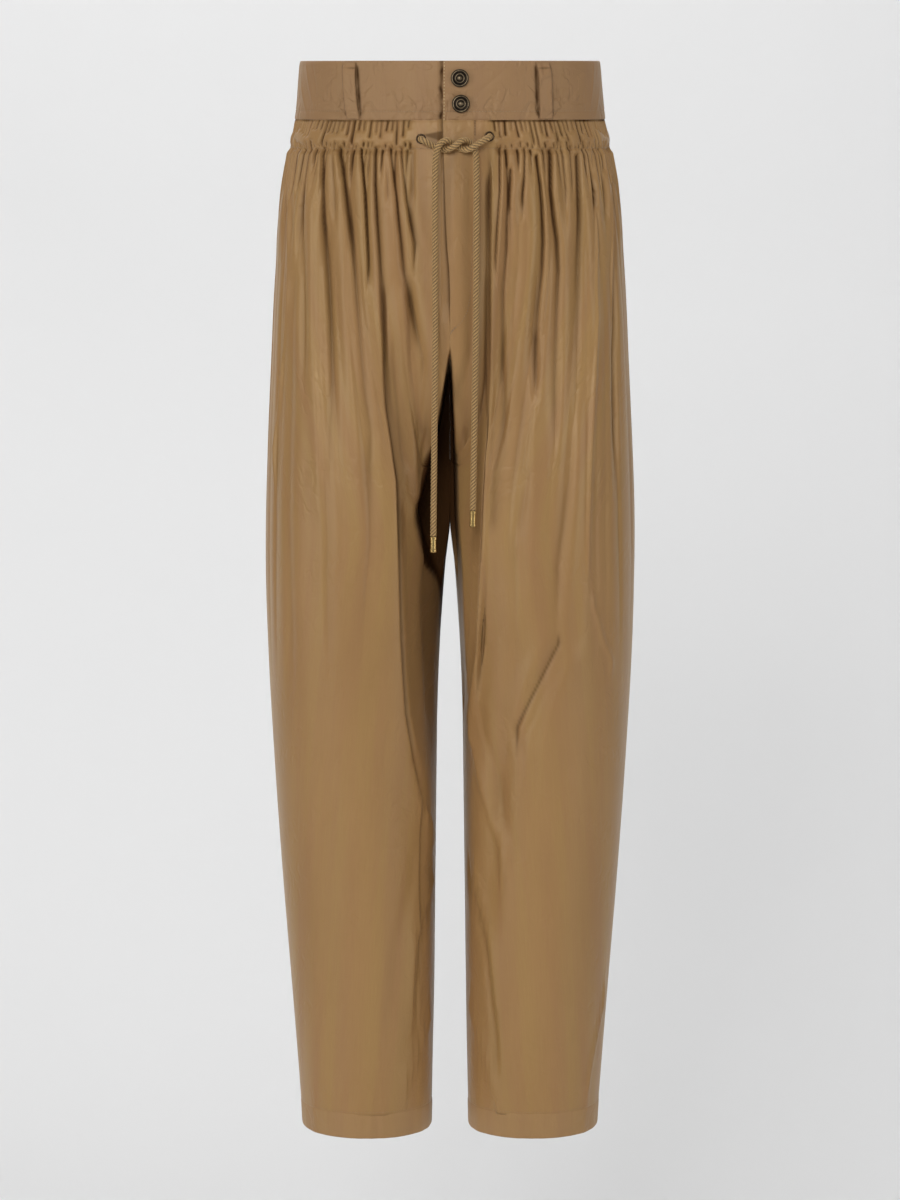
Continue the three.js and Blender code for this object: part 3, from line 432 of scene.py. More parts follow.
def gather_relief(panel, s, z, deep):
    """Sinks the tucks and the small gathers into deep and returns what stands out."""
    height = z[:, None]
    length = girth(panel, z)
    along = (s - panel["flat"]) / (length[:, None] - panel["flat"])
    gathered = smooth(along / 0.03)
    for at, top, foot, lean, depth, width in panel["tucks"]:
        near = smooth((top - z) / 4) * smooth((z - foot) / 5)
        sink(deep, s, near, at * length / panel["casing_length"] + lean * (-32 - z), depth, 1.5 * width, 0.8 * width)
    scale = length / float(girth(panel, GATHER_TOP)[0])
    down = GATHER_TOP - z
    for at, run, lean, depth, width in panel["small"]:
        near = smooth((down + 3) / 3.5) * (1 - smooth((down - 0.1 * run) / (1.1 * run)))
        grown = width * (1 + 0.5 * smooth(down / run))
        sink(deep, s, near, at * scale + lean * smooth(down / (1.2 * run)), depth, 1.5 * grown, 0.75 * grown)
    trough = np.zeros_like(s)
    for at, top, foot, lean, depth, inner, outer in panel["soft"]:
        near = smooth((top - z) / 60) * smooth((z - foot) / 160)
        if near.any():
            some = slice(near.nonzero()[0][0], near.nonzero()[0][-1] + 1)
            away = s[some] - (at * length / panel["thigh_length"] + lean * (top - z) / 200)[some, None]
            trough[some] += depth * near[some, None] * np.exp(-(np.abs(away) / np.where(away < 0, inner, outer)) ** 1.5)
    swell = CASING_SWELL * np.exp(-((height + 43.5) / 6.0) ** 2)
    pinch = STITCH_PINCH * (1 + 0.4 * drift(along, panel["side"], 4.0)) * np.exp(-np.abs(height - CASING_STITCH) / 1.2)
    # the cloth between the valleys stands out a little below the pinched stitching
    lift = RIDGE_LIFT * smooth((CASING_STITCH - 1 - height) / 6) * (1 - smooth((-75 - height) / 110))
    return (swell - pinch + lift) * gathered - trough


row_store = {}


def cloth_row(panel, z):
    """Distance from the centre and length along the cloth, side by side, at one height."""
    key = (panel["name"], round(float(z), 3))
    if key not in row_store:
        share = np.linspace(0, 1, 160)[None, :]
        height = np.array([float(z)])
        row_store[key] = (bare(panel, share, height)[0][0], share[0] * float(girth(panel, height)[0]))
    return row_store[key]


def fold_relief(panel, s, z, deep):
    """Sinks the creased folds of the table into deep and returns the sum of the soft ones."""
    total = np.zeros_like(s)
    for path, rise, inner, outer, fade_top, fade_foot, crease in FOLDS[panel["name"]]:
        heights, places = np.array(path, float).T
        top, foot = heights[0], heights[-1]
        fade_foot = fade_foot * (LONG_FADE if crease == SHARP else 1)
        near = smooth((top + fade_top - z) / fade_top) * smooth((z - foot + fade_foot) / fade_foot)
        place = np.interp(-z, -heights, places)
        tilt = (np.interp(1 - z, -heights, places) - np.interp(-1 - z, -heights, places)) / 2
        middle = np.array([np.interp(place[r], *cloth_row(panel, z[r])) if near[r] > 0 else 0.0 for r in range(len(z))])
        if crease:
            lower = smooth((-100 - z) / 190) if crease == SHARP else np.zeros(len(z))
            sink(deep, s, near * (1 - 0.22 * lower), middle, -CREASE_DEPTH * rise, 1.5 * inner * (1 + 0.6 * lower),
                 0.5 * outer * (1 + 1.3 * lower), tilt)
        else:
            for r in np.nonzero(near > 0)[0]:
                away = (s[r] - middle[r]) / math.hypot(1, tilt[r])
                total[r] += near[r] * rise * np.exp(-(away / np.where(away < 0, inner, outer)) ** 2)
    return total


def wrinkle_relief(panel, share, z):
    """Faint long unevenness of cloth that hangs, and small puckers at the hem."""
    seed = 3 * panel["side"] + panel["face"]
    height = z[:, None] / 1000
    long_waves = 0.35 * np.sin(26 * share + 5 * height + seed) * np.sin(9 * height + 7 * share + seed)
    broad = 0.9 * np.sin(11 * share + 3.1 * height + seed) * np.sin(4.6 * height + seed)
    broad = broad * smooth((-200 - z[:, None]) / 200)
    pucker = np.sin(83 * share + 3 * np.sin(9 * share + seed)) * (0.5 + 0.5 * np.sin(21 * share + 2 * seed))
    hem_pucker = 0.3 * pucker * smooth((HEM_LINE + 32 - z[:, None]) / 32)
    return long_waves + broad + hem_pucker


def relief(panel, share, z):
    length = girth(panel, z)[:, None]
    s = share * length
    calm = smooth((1 - share) * length / CALM_MM) * smooth(s / CALM_MM)
    deep = np.zeros_like(s)
    out = gather_relief(panel, s, z, deep) + fold_relief(panel, s, z, deep) + wrinkle_relief(panel, share, z)
    out = (out - deep ** (1 / BLEND)) * calm
    out -= SEAM_PINCH * np.exp((z[:, None] - BAND_SEAM) / 1.6)
    out -= 0.7 * np.exp(-(length - s) / 1.4)
    if panel["face"] > 0:
        out -= 0.7 * np.exp(-np.abs(s) / 1.4)
    if panel["name"] == "front_right":
        level = smooth((z[:, None] - FLAT_AGAIN) / (FLY_END - FLAT_AGAIN))
        out -= (CLOTH + SEAM + 0.4) * level * (1 - smooth((s - STEP_START) / (STEP_END - STEP_START)))
    return out


# Between the legs the cloth turns in. height, right pocket's edge, right plane's edge, left corner, left plane's edge
BETWEEN_LEGS = np.array([
    (-225, 0.3, 58, 0.5, 35), (-245, 0.9, 57, 0.8, 35), (-281, 6.0, 56, 2.2, 34), (-310, 11.2, 54, 3.6, 33),
    (-340, 17.8, 50, 4.4, 31), (-370, 26, 48, 5.0, 29), (-388, 31, 46.6, 5.4, 28.6), (-410, 27.5, 46, 6.6, 28),
    (-434, 20.5, 45.4, 8.4, 27), (-460, 10, 45, 9.2, 26), (-500, 9, 43.5, 10.5, 24), (-574, 12, 40, 13.5, 20),
    (-650, 13, 27, 14, 17), (-700, 13.5, 18, 14.5, 16),
], float)
DEEP = -16.0


def turn_in(panel, x, y, z):
    """Moves the front panels' cloth between the legs: a dark pocket on the right, flat planes to its sides."""
    height = z[:, None]
    column = [table_curve(BETWEEN_LEGS, k, height) for k in range(5)]
    bottom = 1 - smooth((-600 - height) / 90)
    if panel["side"] < 0:
        edge = column[2]
        plane = smooth((-330 - height) / 110) * bottom
        inner = table_curve(LEG_SPACE, 1, height)
        rim = -0.86 * table_curve(SECTIONS, 2, height)
        chord = rim + (edge - x) / np.maximum(edge - inner, 1) * (-8 - rim)
        inside = smooth((edge - x) / 6) * 0.75 * plane
        y = y + np.maximum(chord - y, 0) * inside
    else:
        edge, corner = column[4], column[3]
        plane = smooth((-232 - height) / 60) * (1 - smooth((-480 - height) / 110))
        face = -0.87 * table_curve(SECTIONS, 2, height) + (edge - x) * 1.35
        inside = smooth((x - corner) / 3.5) * plane * smooth((edge + 8 - x) / 8)
        y = y + np.minimum(face - y, 0) * inside
    opened = smooth((-232 - height) / 36) * (1 - smooth((-440 - height) / 30))
    edge = column[1] if panel["side"] < 0 else column[3] * 0.9
    inside = smooth((edge - np.abs(x)) / np.where(panel["side"] < 0, 4.5, 2.0) + 0.5) * opened
    return y + np.maximum(DEEP - 30 * (1 - smooth((-232 - height) / 70)) - y, 0) * inside


def panel_points(panel, share, z, out=0.0, folds=True, raised=None):
    """World points in millimetres for a grid of shares, one row for each height, moved out from the cloth."""
    x, y = bare(panel, share, z)
    normal = outward(panel, share, z)
    lift = (0 if not folds else relief(panel, share, z) if raised is None else raised) + out
    points = np.stack([x, y, np.broadcast_to(z[:, None], x.shape)], axis=-1) + normal * np.asarray(lift)[..., None]
    points[..., 2] = z[:, None] + np.clip(points[..., 2] - z[:, None], -1.5, 1.5)
    if folds and panel["face"] < 0:
        points[..., 1] = turn_in(panel, points[..., 0], points[..., 1], z)
    points[..., 0] = np.where(share < 0, points[..., 0], np.maximum(points[..., 0], 0)) * panel["side"]
    return points


print("girth of the casing:", round(4 * float(girth(PANELS["front_left"], -40)[0])), "mm")
print("small gathers:", sum(len(panel["small"]) for panel in PANELS.values()))

# %% [markdown]
# ## Meshes from grids
# A cloth piece is a closed thin wall: an outer grid, an inner grid a cloth's thickness behind it, and a rim that
# joins them. The UV map is laid out in metres along and down the cloth, so the weave keeps its scale everywhere.

# %% Mesh helpers


def new_mesh_object(name, vertices_mm, faces, material, uvs=None, painted_shade=None):
    mesh = bpy.data.meshes.new(name)
    mesh.from_pydata((np.asarray(vertices_mm) * MM).tolist(), [], faces)
    if uvs is not None:
        layer = mesh.uv_layers.new(name="cloth")
        loops = np.empty(len(mesh.loops), np.int64)
        mesh.loops.foreach_get("vertex_index", loops)
        layer.data.foreach_set("uv", (np.asarray(uvs)[loops] * MM).astype(np.float32).ravel())
    # an optional attribute of painted shade, from 0 to 1, that the materials mix in as darkness
    if painted_shade is not None:
        mesh.attributes.new("painted_shade", "FLOAT", "POINT").data.foreach_set("value", np.asarray(painted_shade, np.float32))
    mesh.polygons.foreach_set("use_smooth", [True] * len(mesh.polygons))
    mesh.materials.append(material)
    mesh.update()
    made = bpy.data.objects.new(name, mesh)
    bpy.context.scene.collection.objects.link(made)
    return made


def wall_faces(rows, columns, closed=False, step=1):
    """Faces of an outer grid and of an inner one that has every step-th row and column of it, rims included."""
    count, inner_columns = rows * columns, (columns - 1) // step + 1
    span = columns if closed else columns - 1
    faces = []
    for r in range(rows - 1):
        for c in range(span):
            a, b = r * columns + c, r * columns + (c + 1) % columns
            faces.append((a, a + columns, b + columns, b))
    for r in range((rows - 1) // step):
        for c in range(span // step):
            a = count + r * inner_columns + c
            b = count + r * inner_columns + (c + 1) % inner_columns
            faces.append((a, b, b + inner_columns, a + inner_columns))
    last_row, last_inner = (rows - 1) * columns, count + (rows - 1) // step * inner_columns
    for c in range(0, span, step):
        run = [(c + k) % columns for k in range(step + 1)]
        a, b = c // step, (c // step + 1) % inner_columns
        faces.append((*run, b + count, a + count))
        faces.append((run[0] + last_row, a + last_inner, b + last_inner, *(k + last_row for k in run[:0:-1])))
    if not closed:
        for r in range(0, rows - 1, step):
            run = [(r + k) * columns for k in range(step + 1)]
            a, b = count + r // step * inner_columns, count + (r // step + 1) * inner_columns
            faces.append((run[0], a, b, *run[:0:-1]))
            end = columns - 1
            faces.append((*(k + end for k in run), b + inner_columns - 1, a + inner_columns - 1))
    return faces


def wall_object(name, outer, inner, lengths, heights, material, flip, closed=False, painted_shade=None, step=1):
    rows, columns = outer.shape[:2]
    faces = wall_faces(rows, columns, closed, step)
    if flip:
        faces = [face[::-1] for face in faces]
    uv = np.stack([lengths, np.broadcast_to(heights[:, None], lengths.shape)], axis=-1)
    inner, inner_uv = inner[::step, ::step], uv[::step, ::step]
    vertices = np.concatenate([outer.reshape(-1, 3), inner.reshape(-1, 3)])
    if painted_shade is not None:
        # the inside of the wall gets a little painted shade
        painted_shade = np.concatenate([painted_shade.ravel(), np.full(inner.shape[0] * inner.shape[1], 0.3)])
    uvs = np.concatenate([uv.reshape(-1, 2), inner_uv.reshape(-1, 2)])
    return new_mesh_object(name, vertices, faces, material, uvs, painted_shade)


def finish_piece(piece, slot, *nodes):
    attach(piece, "root")
    if nodes:
        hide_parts(*nodes)
    print(piece.name, len(piece.data.polygons), "faces")
    return piece


# %% [markdown]
# ## Materials
# The cloth is a fluid satin: smooth, with a soft sheen along the ridges and a very fine diagonal weave that only
# shows close to. Its colour wanders slightly between a golden and a rosier brown in long streaks down the cloth.
# All the patterns read the cloth's own UV map or the object's coordinates, so they stay put from every side. Shade is
# painted into the creases too, from an attribute that each mesh carries.

# %% Material helpers


def material_nodes(name):
    made = bpy.data.materials.new(name)
    made.use_nodes = True
    tree = made.node_tree
    shader = tree.nodes["Principled BSDF"]
    return made, tree, shader


def add_node(tree, kind, inputs=None, **settings):
    node = tree.nodes.new(kind)
    for key, value in settings.items():
        setattr(node, key, value)
    for key, value in (inputs or {}).items():
        if isinstance(value, bpy.types.NodeSocket):
            tree.links.new(value, node.inputs[key])
        else:
            node.inputs[key].default_value = value
    return node


def mapped(tree, source, scale):
    return add_node(tree, "ShaderNodeMapping", {"Vector": source, "Scale": scale}).outputs["Vector"]


def mixed(tree, share, a, b):
    mix = add_node(tree, "ShaderNodeMix", data_type="RGBA")
    for socket, value in ((mix.inputs[0], share), (mix.inputs[6], a), (mix.inputs[7], b)):
        if isinstance(value, bpy.types.NodeSocket):
            tree.links.new(value, socket)
        else:
            socket.default_value = value
    return mix.outputs[2]


def ramped(tree, value, low, high):
    """0 below low and 1 above high."""
    return add_node(tree, "ShaderNodeMapRange", {"Value": value, "From Min": low, "From Max": high}).outputs["Result"]


def math_node(tree, operation, a, b=0.0):
    node = add_node(tree, "ShaderNodeMath", operation=operation)
    for socket, value in zip(node.inputs, (a, b)):
        if isinstance(value, bpy.types.NodeSocket):
            tree.links.new(value, socket)
        else:
            socket.default_value = value
    return node.outputs[0]


DEEP_SHADE = (0.040, 0.015, 0.005)


def satin(name, golden, rosy, deep, roughness, weave_bump, crumple=0.0, gloss=0.4):
    """Satin-woven cloth: long streaks of colour, a fine twill line, handling creases, a soft sheen, and shade painted
    into its creases.
    """
    made, tree, shader = material_nodes(name)
    uv = add_node(tree, "ShaderNodeTexCoord").outputs["UV"]
    streaks = add_node(tree, "ShaderNodeTexNoise", {"Vector": mapped(tree, uv, (60, 3, 1)), "Scale": 1.0, "Detail": 3.0,
                                                    "Roughness": 0.55})
    cloudy = add_node(tree, "ShaderNodeTexNoise", {"Vector": mapped(tree, uv, (14, 5, 1)), "Scale": 1.0, "Detail": 2.0})
    fine = add_node(tree, "ShaderNodeTexNoise", {"Vector": mapped(tree, uv, (900, 40, 1)), "Scale": 1.0, "Detail": 2.0})
    tint = mixed(tree, ramped(tree, streaks.outputs["Fac"], 0.35, 0.68), (*golden, 1), (*rosy, 1))
    tint = mixed(tree, math_node(tree, "MULTIPLY", ramped(tree, cloudy.outputs["Fac"], 0.42, 0.72), 0.35), tint,
                 (*deep, 1))
    tint = mixed(tree, math_node(tree, "MULTIPLY", ramped(tree, fine.outputs["Fac"], 0.35, 0.75), 0.22), tint,
                 (*deep, 1))
    # painted shade: the mesh's attribute darkens the colour in creases and recesses, and takes away shine and sheen
    # there
    painted_shade = add_node(tree, "ShaderNodeAttribute", attribute_name="painted_shade").outputs["Fac"]
    tint = mixed(tree, painted_shade, tint, (*DEEP_SHADE, 1))
    tree.links.new(tint, shader.inputs["Base Color"])
    shine = add_node(tree, "ShaderNodeMapRange", {"Value": painted_shade, "To Min": gloss, "To Max": 0.0}).outputs["Result"]
    tree.links.new(shine, shader.inputs["Specular IOR Level"])
    bloom = add_node(tree, "ShaderNodeMapRange", {"Value": painted_shade, "To Min": 0.08, "To Max": 0.0}).outputs["Result"]
    tree.links.new(bloom, shader.inputs["Sheen Weight"])
    twill = add_node(tree, "ShaderNodeTexWave", {"Vector": mapped(tree, uv, (1, 0.55, 1)), "Scale": 520.0,
                                                 "Distortion": 0.4, "Detail": 1.0}, bands_direction="DIAGONAL")
    slubs = math_node(tree, "MULTIPLY", fine.outputs["Fac"], 0.8)
    height = math_node(tree, "ADD", math_node(tree, "MULTIPLY", twill.outputs["Fac"], 0.5), slubs)
    bump = add_node(tree, "ShaderNodeBump", {"Height": height, "Strength": weave_bump, "Distance": 0.00012})
    if crumple:
        creased = add_node(tree, "ShaderNodeTexNoise", {"Vector": mapped(tree, uv, (50, 34, 1)), "Scale": 1.0,
                                                        "Detail": 2.5, "Roughness": 0.55, "Distortion": 0.3})
        folded = math_node(tree, "ABSOLUTE", math_node(tree, "SUBTRACT", creased.outputs["Fac"], 0.5))
        patches = add_node(tree, "ShaderNodeTexNoise", {"Vector": mapped(tree, uv, (16, 24, 1)), "Scale": 1.0})
        sharp = math_node(tree, "MAXIMUM", ramped(tree, folded, 0.0, 0.08),
                          ramped(tree, patches.outputs["Fac"], 0.6, 0.42))
        bump = add_node(tree, "ShaderNodeBump", {"Height": sharp, "Strength": crumple, "Distance": 0.0012,
                                                 "Normal": bump.outputs["Normal"]})
    tree.links.new(bump.outputs["Normal"], shader.inputs["Normal"])
    rough = add_node(tree, "ShaderNodeMapRange", {"Value": streaks.outputs["Fac"], "To Min": roughness - 0.05,
                                                  "To Max": roughness + 0.07})
    tree.links.new(rough.outputs["Result"], shader.inputs["Roughness"])
    shader.inputs["Sheen Roughness"].default_value = 0.4
    shader.inputs["Sheen Tint"].default_value = (0.9, 0.72, 0.45, 1)
    shader.inputs["Specular Tint"].default_value = (1.0, 0.84, 0.62, 1)
    return made


def worn_metal(name, dark, light, roughness, scale):
    """Antique metal: dark in its hollows from painted shade and from patina, rubbed lighter here and there."""
    made, tree, shader = material_nodes(name)
    place = add_node(tree, "ShaderNodeTexCoord").outputs["Object"]
    spots = add_node(tree, "ShaderNodeTexNoise", {"Vector": place, "Scale": scale, "Detail": 5.0, "Roughness": 0.6})
    tint = mixed(tree, ramped(tree, spots.outputs["Fac"], 0.4, 0.66), (*dark, 1), (*light, 1))
    # painted shade from the mesh's attribute, darkest in the grooves and on the rim's sides, partly standing for the
    # patina there
    painted_shade = add_node(tree, "ShaderNodeAttribute", attribute_name="painted_shade").outputs["Fac"]
    tint = mixed(tree, painted_shade, tint, (0.012, 0.008, 0.005, 1))
    tree.links.new(tint, shader.inputs["Base Color"])
    shader.inputs["Metallic"].default_value = 0.9
    rough = add_node(tree, "ShaderNodeMapRange", {"Value": spots.outputs["Fac"], "To Min": roughness + 0.12,
                                                  "To Max": roughness - 0.08})
    tree.links.new(rough.outputs["Result"], shader.inputs["Roughness"])
    bump = add_node(tree, "ShaderNodeBump", {"Height": spots.outputs["Fac"], "Strength": 0.12, "Distance": 0.0001})
    tree.links.new(bump.outputs["Normal"], shader.inputs["Normal"])
    return made


def yarn(name, light, dark, frequency):
    """Spun thread: fine hairs of lighter and darker fibre."""
    made, tree, shader = material_nodes(name)
    place = add_node(tree, "ShaderNodeTexCoord").outputs["Object"]
    fibres = add_node(tree, "ShaderNodeTexNoise", {"Vector": place, "Scale": frequency, "Detail": 3.0})
    tint = mixed(tree, ramped(tree, fibres.outputs["Fac"], 0.38, 0.64), (*dark, 1), (*light, 1))
    # painted shade from the mesh's attribute, which only the cord carries: its grooves between the strands
    painted_shade = add_node(tree, "ShaderNodeAttribute", attribute_name="painted_shade").outputs["Fac"]
    tint = mixed(tree, painted_shade, tint, (0.07, 0.04, 0.014, 1))
    tree.links.new(tint, shader.inputs["Base Color"])
    bump = add_node(tree, "ShaderNodeBump", {"Height": fibres.outputs["Fac"], "Strength": 0.3, "Distance": 0.0002})
    tree.links.new(bump.outputs["Normal"], shader.inputs["Normal"])
    shader.inputs["Roughness"].default_value = 0.62
    shader.inputs["Sheen Weight"].default_value = 0.1
    return made


leg_cloth = satin("leg_satin", (0.330, 0.192, 0.070), (0.316, 0.170, 0.070), (0.250, 0.136, 0.050), 0.41, 0.35, 0.2, 0.48)
band_cloth = satin("band_satin", (0.300, 0.174, 0.080), (0.286, 0.162, 0.080), (0.236, 0.132, 0.060), 0.5, 0.45, 0.75)
hem_cloth = satin("hem_satin", (0.338, 0.198, 0.082), (0.322, 0.183, 0.082), (0.265, 0.152, 0.064), 0.5, 0.45, 0.3)
cord_yarn = yarn("cord_yarn", (0.56, 0.35, 0.13), (0.27, 0.15, 0.05), 2600.0)
thread = yarn("sewing_thread", (0.34, 0.225, 0.115), (0.22, 0.14, 0.07), 3000.0)
light_thread = yarn("light_thread", (0.62, 0.46, 0.24), (0.42, 0.29, 0.14), 3000.0)
button_metal = worn_metal("button_metal", (0.12, 0.088, 0.055), (0.28, 0.21, 0.125), 0.36, 160.0)
eyelet_metal = worn_metal("eyelet_metal", (0.050, 0.030, 0.017), (0.13, 0.082, 0.044), 0.42, 300.0)
tip_metal = worn_metal("tip_metal", (0.42, 0.28, 0.10), (0.50, 0.35, 0.14), 0.28, 90.0)
print("materials:", len(bpy.data.materials))

# %% [markdown]
# ## The drawstring
# The cord is about 6 mm thick and twisted from four strands. Each free end comes out of its eyelet, crosses the
# other in a half knot and hangs down under its own weight. The route is a list of given points; a tube is swept
# along it, and its wall is pushed in between the strands, which wind round at a steady pitch. Real grooves catch
# the light better than a bump would.

# %% The drawstring
CORD_RADIUS = 2.95
STRANDS, TWIST_PITCH, GROOVE = 4, 13.2, 1.1
CORD_AROUND, CORD_STEP = 32, 0.54
CORD_ROUTES = {
    "drawstring_long": [
        (35.8, -41.3, 0.9), (35.7, -41.6, 4.5), (33.8, -42.8, 8.6), (29.5, -45.2, 10.6), (24.6, -48.2, 11.2),
        (19.8, -51.4, 11), (14.8, -52.9, 8.6), (10, -52, 5.2), (5.8, -49.6, 3.6), (1.4, -46.6, 5.4),
        (-2.8, -44.6, 9), (-7, -46, 11.2), (-10.4, -50, 11.6), (-12.4, -56, 11), (-13.2, -66, 9.4),
        (-13.6, -90, 7.6), (-13.6, -150, 6), (-13.4, -225, 6),
    ],
    "drawstring_short": [
        (-26.3, -43.5, 0.9), (-26.2, -43.7, 4), (-24.2, -44.8, 6.2), (-19.6, -47.2, 5.4), (-14.6, -49.6, 4),
        (-9.6, -51.8, 3.8), (-4.4, -52.9, 6), (0.6, -51.6, 9.6), (5.4, -48.6, 11), (10, -45.2, 9.8),
        (14.6, -44.6, 6.4), (18.6, -47.2, 4.2), (21.8, -51.4, 4), (23.4, -57, 5), (23.8, -68, 6), (23.9, -90, 6),
        (23.8, -150, 6), (23.4, -225, 6),
    ],
}
CORD_ENDS = {"drawstring_long": (-15.2, -404.5), "drawstring_short": (21.0, -381.0)}
HANG_ROWS = 3


def cord_route(name):
    """The route's points in millimetres, on the bare front and moved out from it."""
    points = []
    for x, z, out in CORD_ROUTES[name]:
        side_panel = PANELS["front_right" if x < 0 else "front_left"]
        share = np.array([[abs(x) / float(girth(side_panel, z)[0])]])
        _, y = bare(side_panel, share, np.array([float(z)]))
        points.append((x, float(y[0, 0]) - out, z))
    end_x, end_z = CORD_ENDS[name]
    hung = np.array(points[-1], float)
    end = np.array((end_x, hung[1], end_z))
    points += [tuple(hung + (end - hung) * k / HANG_ROWS) for k in range(1, HANG_ROWS + 1)]
    return np.array(points, float)


def centripetal(points, samples=24):
    """A smooth line through points, with knots spaced by the square root of their distances."""
    padded = np.vstack([2 * points[0] - points[1], points, 2 * points[-1] - points[-2]])
    knots = np.concatenate([[0], np.cumsum(np.sqrt(np.linalg.norm(np.diff(padded, axis=0), axis=1)))])
    line = []
    for i in range(1, len(padded) - 2):
        t0, t1, t2, t3 = knots[i - 1:i + 3]
        p0, p1, p2, p3 = padded[i - 1:i + 3]
        for t in np.linspace(t1, t2, samples, endpoint=False):
            a1 = (t1 - t) / (t1 - t0) * p0 + (t - t0) / (t1 - t0) * p1
            a2 = (t2 - t) / (t2 - t1) * p1 + (t - t1) / (t2 - t1) * p2
            a3 = (t3 - t) / (t3 - t2) * p2 + (t - t2) / (t3 - t2) * p3
            b1 = (t2 - t) / (t2 - t0) * a1 + (t - t0) / (t2 - t0) * a2
            b2 = (t3 - t) / (t3 - t1) * a2 + (t - t1) / (t3 - t1) * a3
            line.append((t2 - t) / (t2 - t1) * b1 + (t - t1) / (t2 - t1) * b2)
    line.append(points[-1])
    return np.array(line)


def even_steps(line, step):
    along = np.concatenate([[0], np.cumsum(np.linalg.norm(np.diff(line, axis=0), axis=1))])
    wanted = np.linspace(0, along[-1], max(int(along[-1] / step), 8))
    return np.column_stack([np.interp(wanted, along, line[:, k]) for k in range(3)]), along[-1]


def sweep_frames(line):
    """Side vectors along a line that turn as little as they can."""
    tangents = np.gradient(line, axis=0)
    tangents /= np.linalg.norm(tangents, axis=1, keepdims=True)
    side = np.cross(tangents[0], (0, 0, 1))
    if np.linalg.norm(side) < 0.1:
        side = np.cross(tangents[0], (1, 0, 0))
    sides = []
    for tangent in tangents:
        side = side - tangent * side.dot(tangent)
        side /= np.linalg.norm(side)
        sides.append(side)
    sides = np.array(sides)
    return sides, np.cross(tangents, sides)


def twisted_cord(name):
    line, length = even_steps(centripetal(cord_route(name)), CORD_STEP)
    side, other = sweep_frames(line)
    rings = len(line)
    angle = np.linspace(0, 2 * math.pi, CORD_AROUND, endpoint=False)[None, :]
    turn = (np.linspace(0, length, rings) * 2 * math.pi / TWIST_PITCH)[:, None]
    strand = np.abs(np.cos(STRANDS * (angle - turn) / 2)) ** 0.9
    radius = CORD_RADIUS - GROOVE * (1 - strand)
    points = (line[:, None, :] + (radius * np.cos(angle))[..., None] * side[:, None, :]
              + (radius * np.sin(angle))[..., None] * other[:, None, :])
    faces = []
    for r in range(rings - 1):
        for c in range(CORD_AROUND):
            a, b = r * CORD_AROUND + c, r * CORD_AROUND + (c + 1) % CORD_AROUND
            faces.append((a, b, b + CORD_AROUND, a + CORD_AROUND))
    vertices = np.vstack([points.reshape(-1, 3), line[:1], line[-1:]])
    first, last = rings * CORD_AROUND, rings * CORD_AROUND + 1
    for c in range(CORD_AROUND):
        n = (c + 1) % CORD_AROUND
        faces.append((first, n, c))
        faces.append((last, (rings - 1) * CORD_AROUND + c, (rings - 1) * CORD_AROUND + n))
    # painted shade in the grooves between the strands
    painted_shade = np.concatenate([(1 - strand).ravel(), [0, 0]])
    piece = new_mesh_object("twisted_" + name, vertices, faces, cord_yarn, painted_shade=painted_shade)
    finish_piece(piece, "cord", name)
    print(name, "is", round(length), "mm long")
    return line


cord_lines = {name: twisted_cord(name) for name in CORD_ROUTES}

# %% [markdown]
# ## Leg panels
# The four panels are made by one loop. The rows lie close together at the casing, where the gathers are fine, and
# further apart down the legs. The left front reaches past the centre, over the right one, as a fly does.

# %% Leg panels
FRONT_COLUMNS, BACK_COLUMNS, INNER_STEP = 295, 221, 2
PANEL_HEIGHTS = np.concatenate([
    [BAND_SEAM + 1.0], np.linspace(BAND_SEAM - SEAM, -60, 35, endpoint=False),
    np.linspace(-60, -130, 38, endpoint=False),
    np.linspace(-130, -290, 42, endpoint=False), np.linspace(-290, -365, 42, endpoint=False),
    np.linspace(-365, -500, 32, endpoint=False), np.linspace(-500, -605, 30, endpoint=False),
    np.linspace(-605, -715, 11, endpoint=False), np.linspace(-715, HEM_LINE + 1.5, 19), [HEM_LINE - 2.0],
])


def centre_edge(panel, z):
    """Distance of the panel's inner edge from the centre, for each height."""
    plain = np.zeros(len(z))
    if panel["face"] > 0:
        return plain
    if panel["side"] > 0:
        return np.where(z > FLY_END, -np.maximum(table_curve(OPENING_LAP, 1, z), 0), plain)
    return -UNDERLAP * smooth((z - FLY_END) / 30)


def panel_shares(panel, z, columns):
    length = girth(panel, z)
    start = centre_edge(panel, z) / length
    return start[:, None] + (1 - start)[:, None] * np.linspace(0, 1, columns)[None, :]


def steepness(grid, reach=2):
    """How much the grid changes within a few rows and columns."""
    padded = np.pad(grid, reach, mode="edge")
    rows, columns = grid.shape
    near = np.stack([padded[i:i + rows, j:j + columns] for i in range(2 * reach + 1) for j in range(2 * reach + 1)])
    return near.max(axis=0) - near.min(axis=0)


def strip(x, edge, width):
    """A shade that is darkest along an edge and fades towards the centre."""
    return np.exp(-np.maximum(edge - x, 0) / width) * smooth((edge + 0.8 - x) / 1.4)


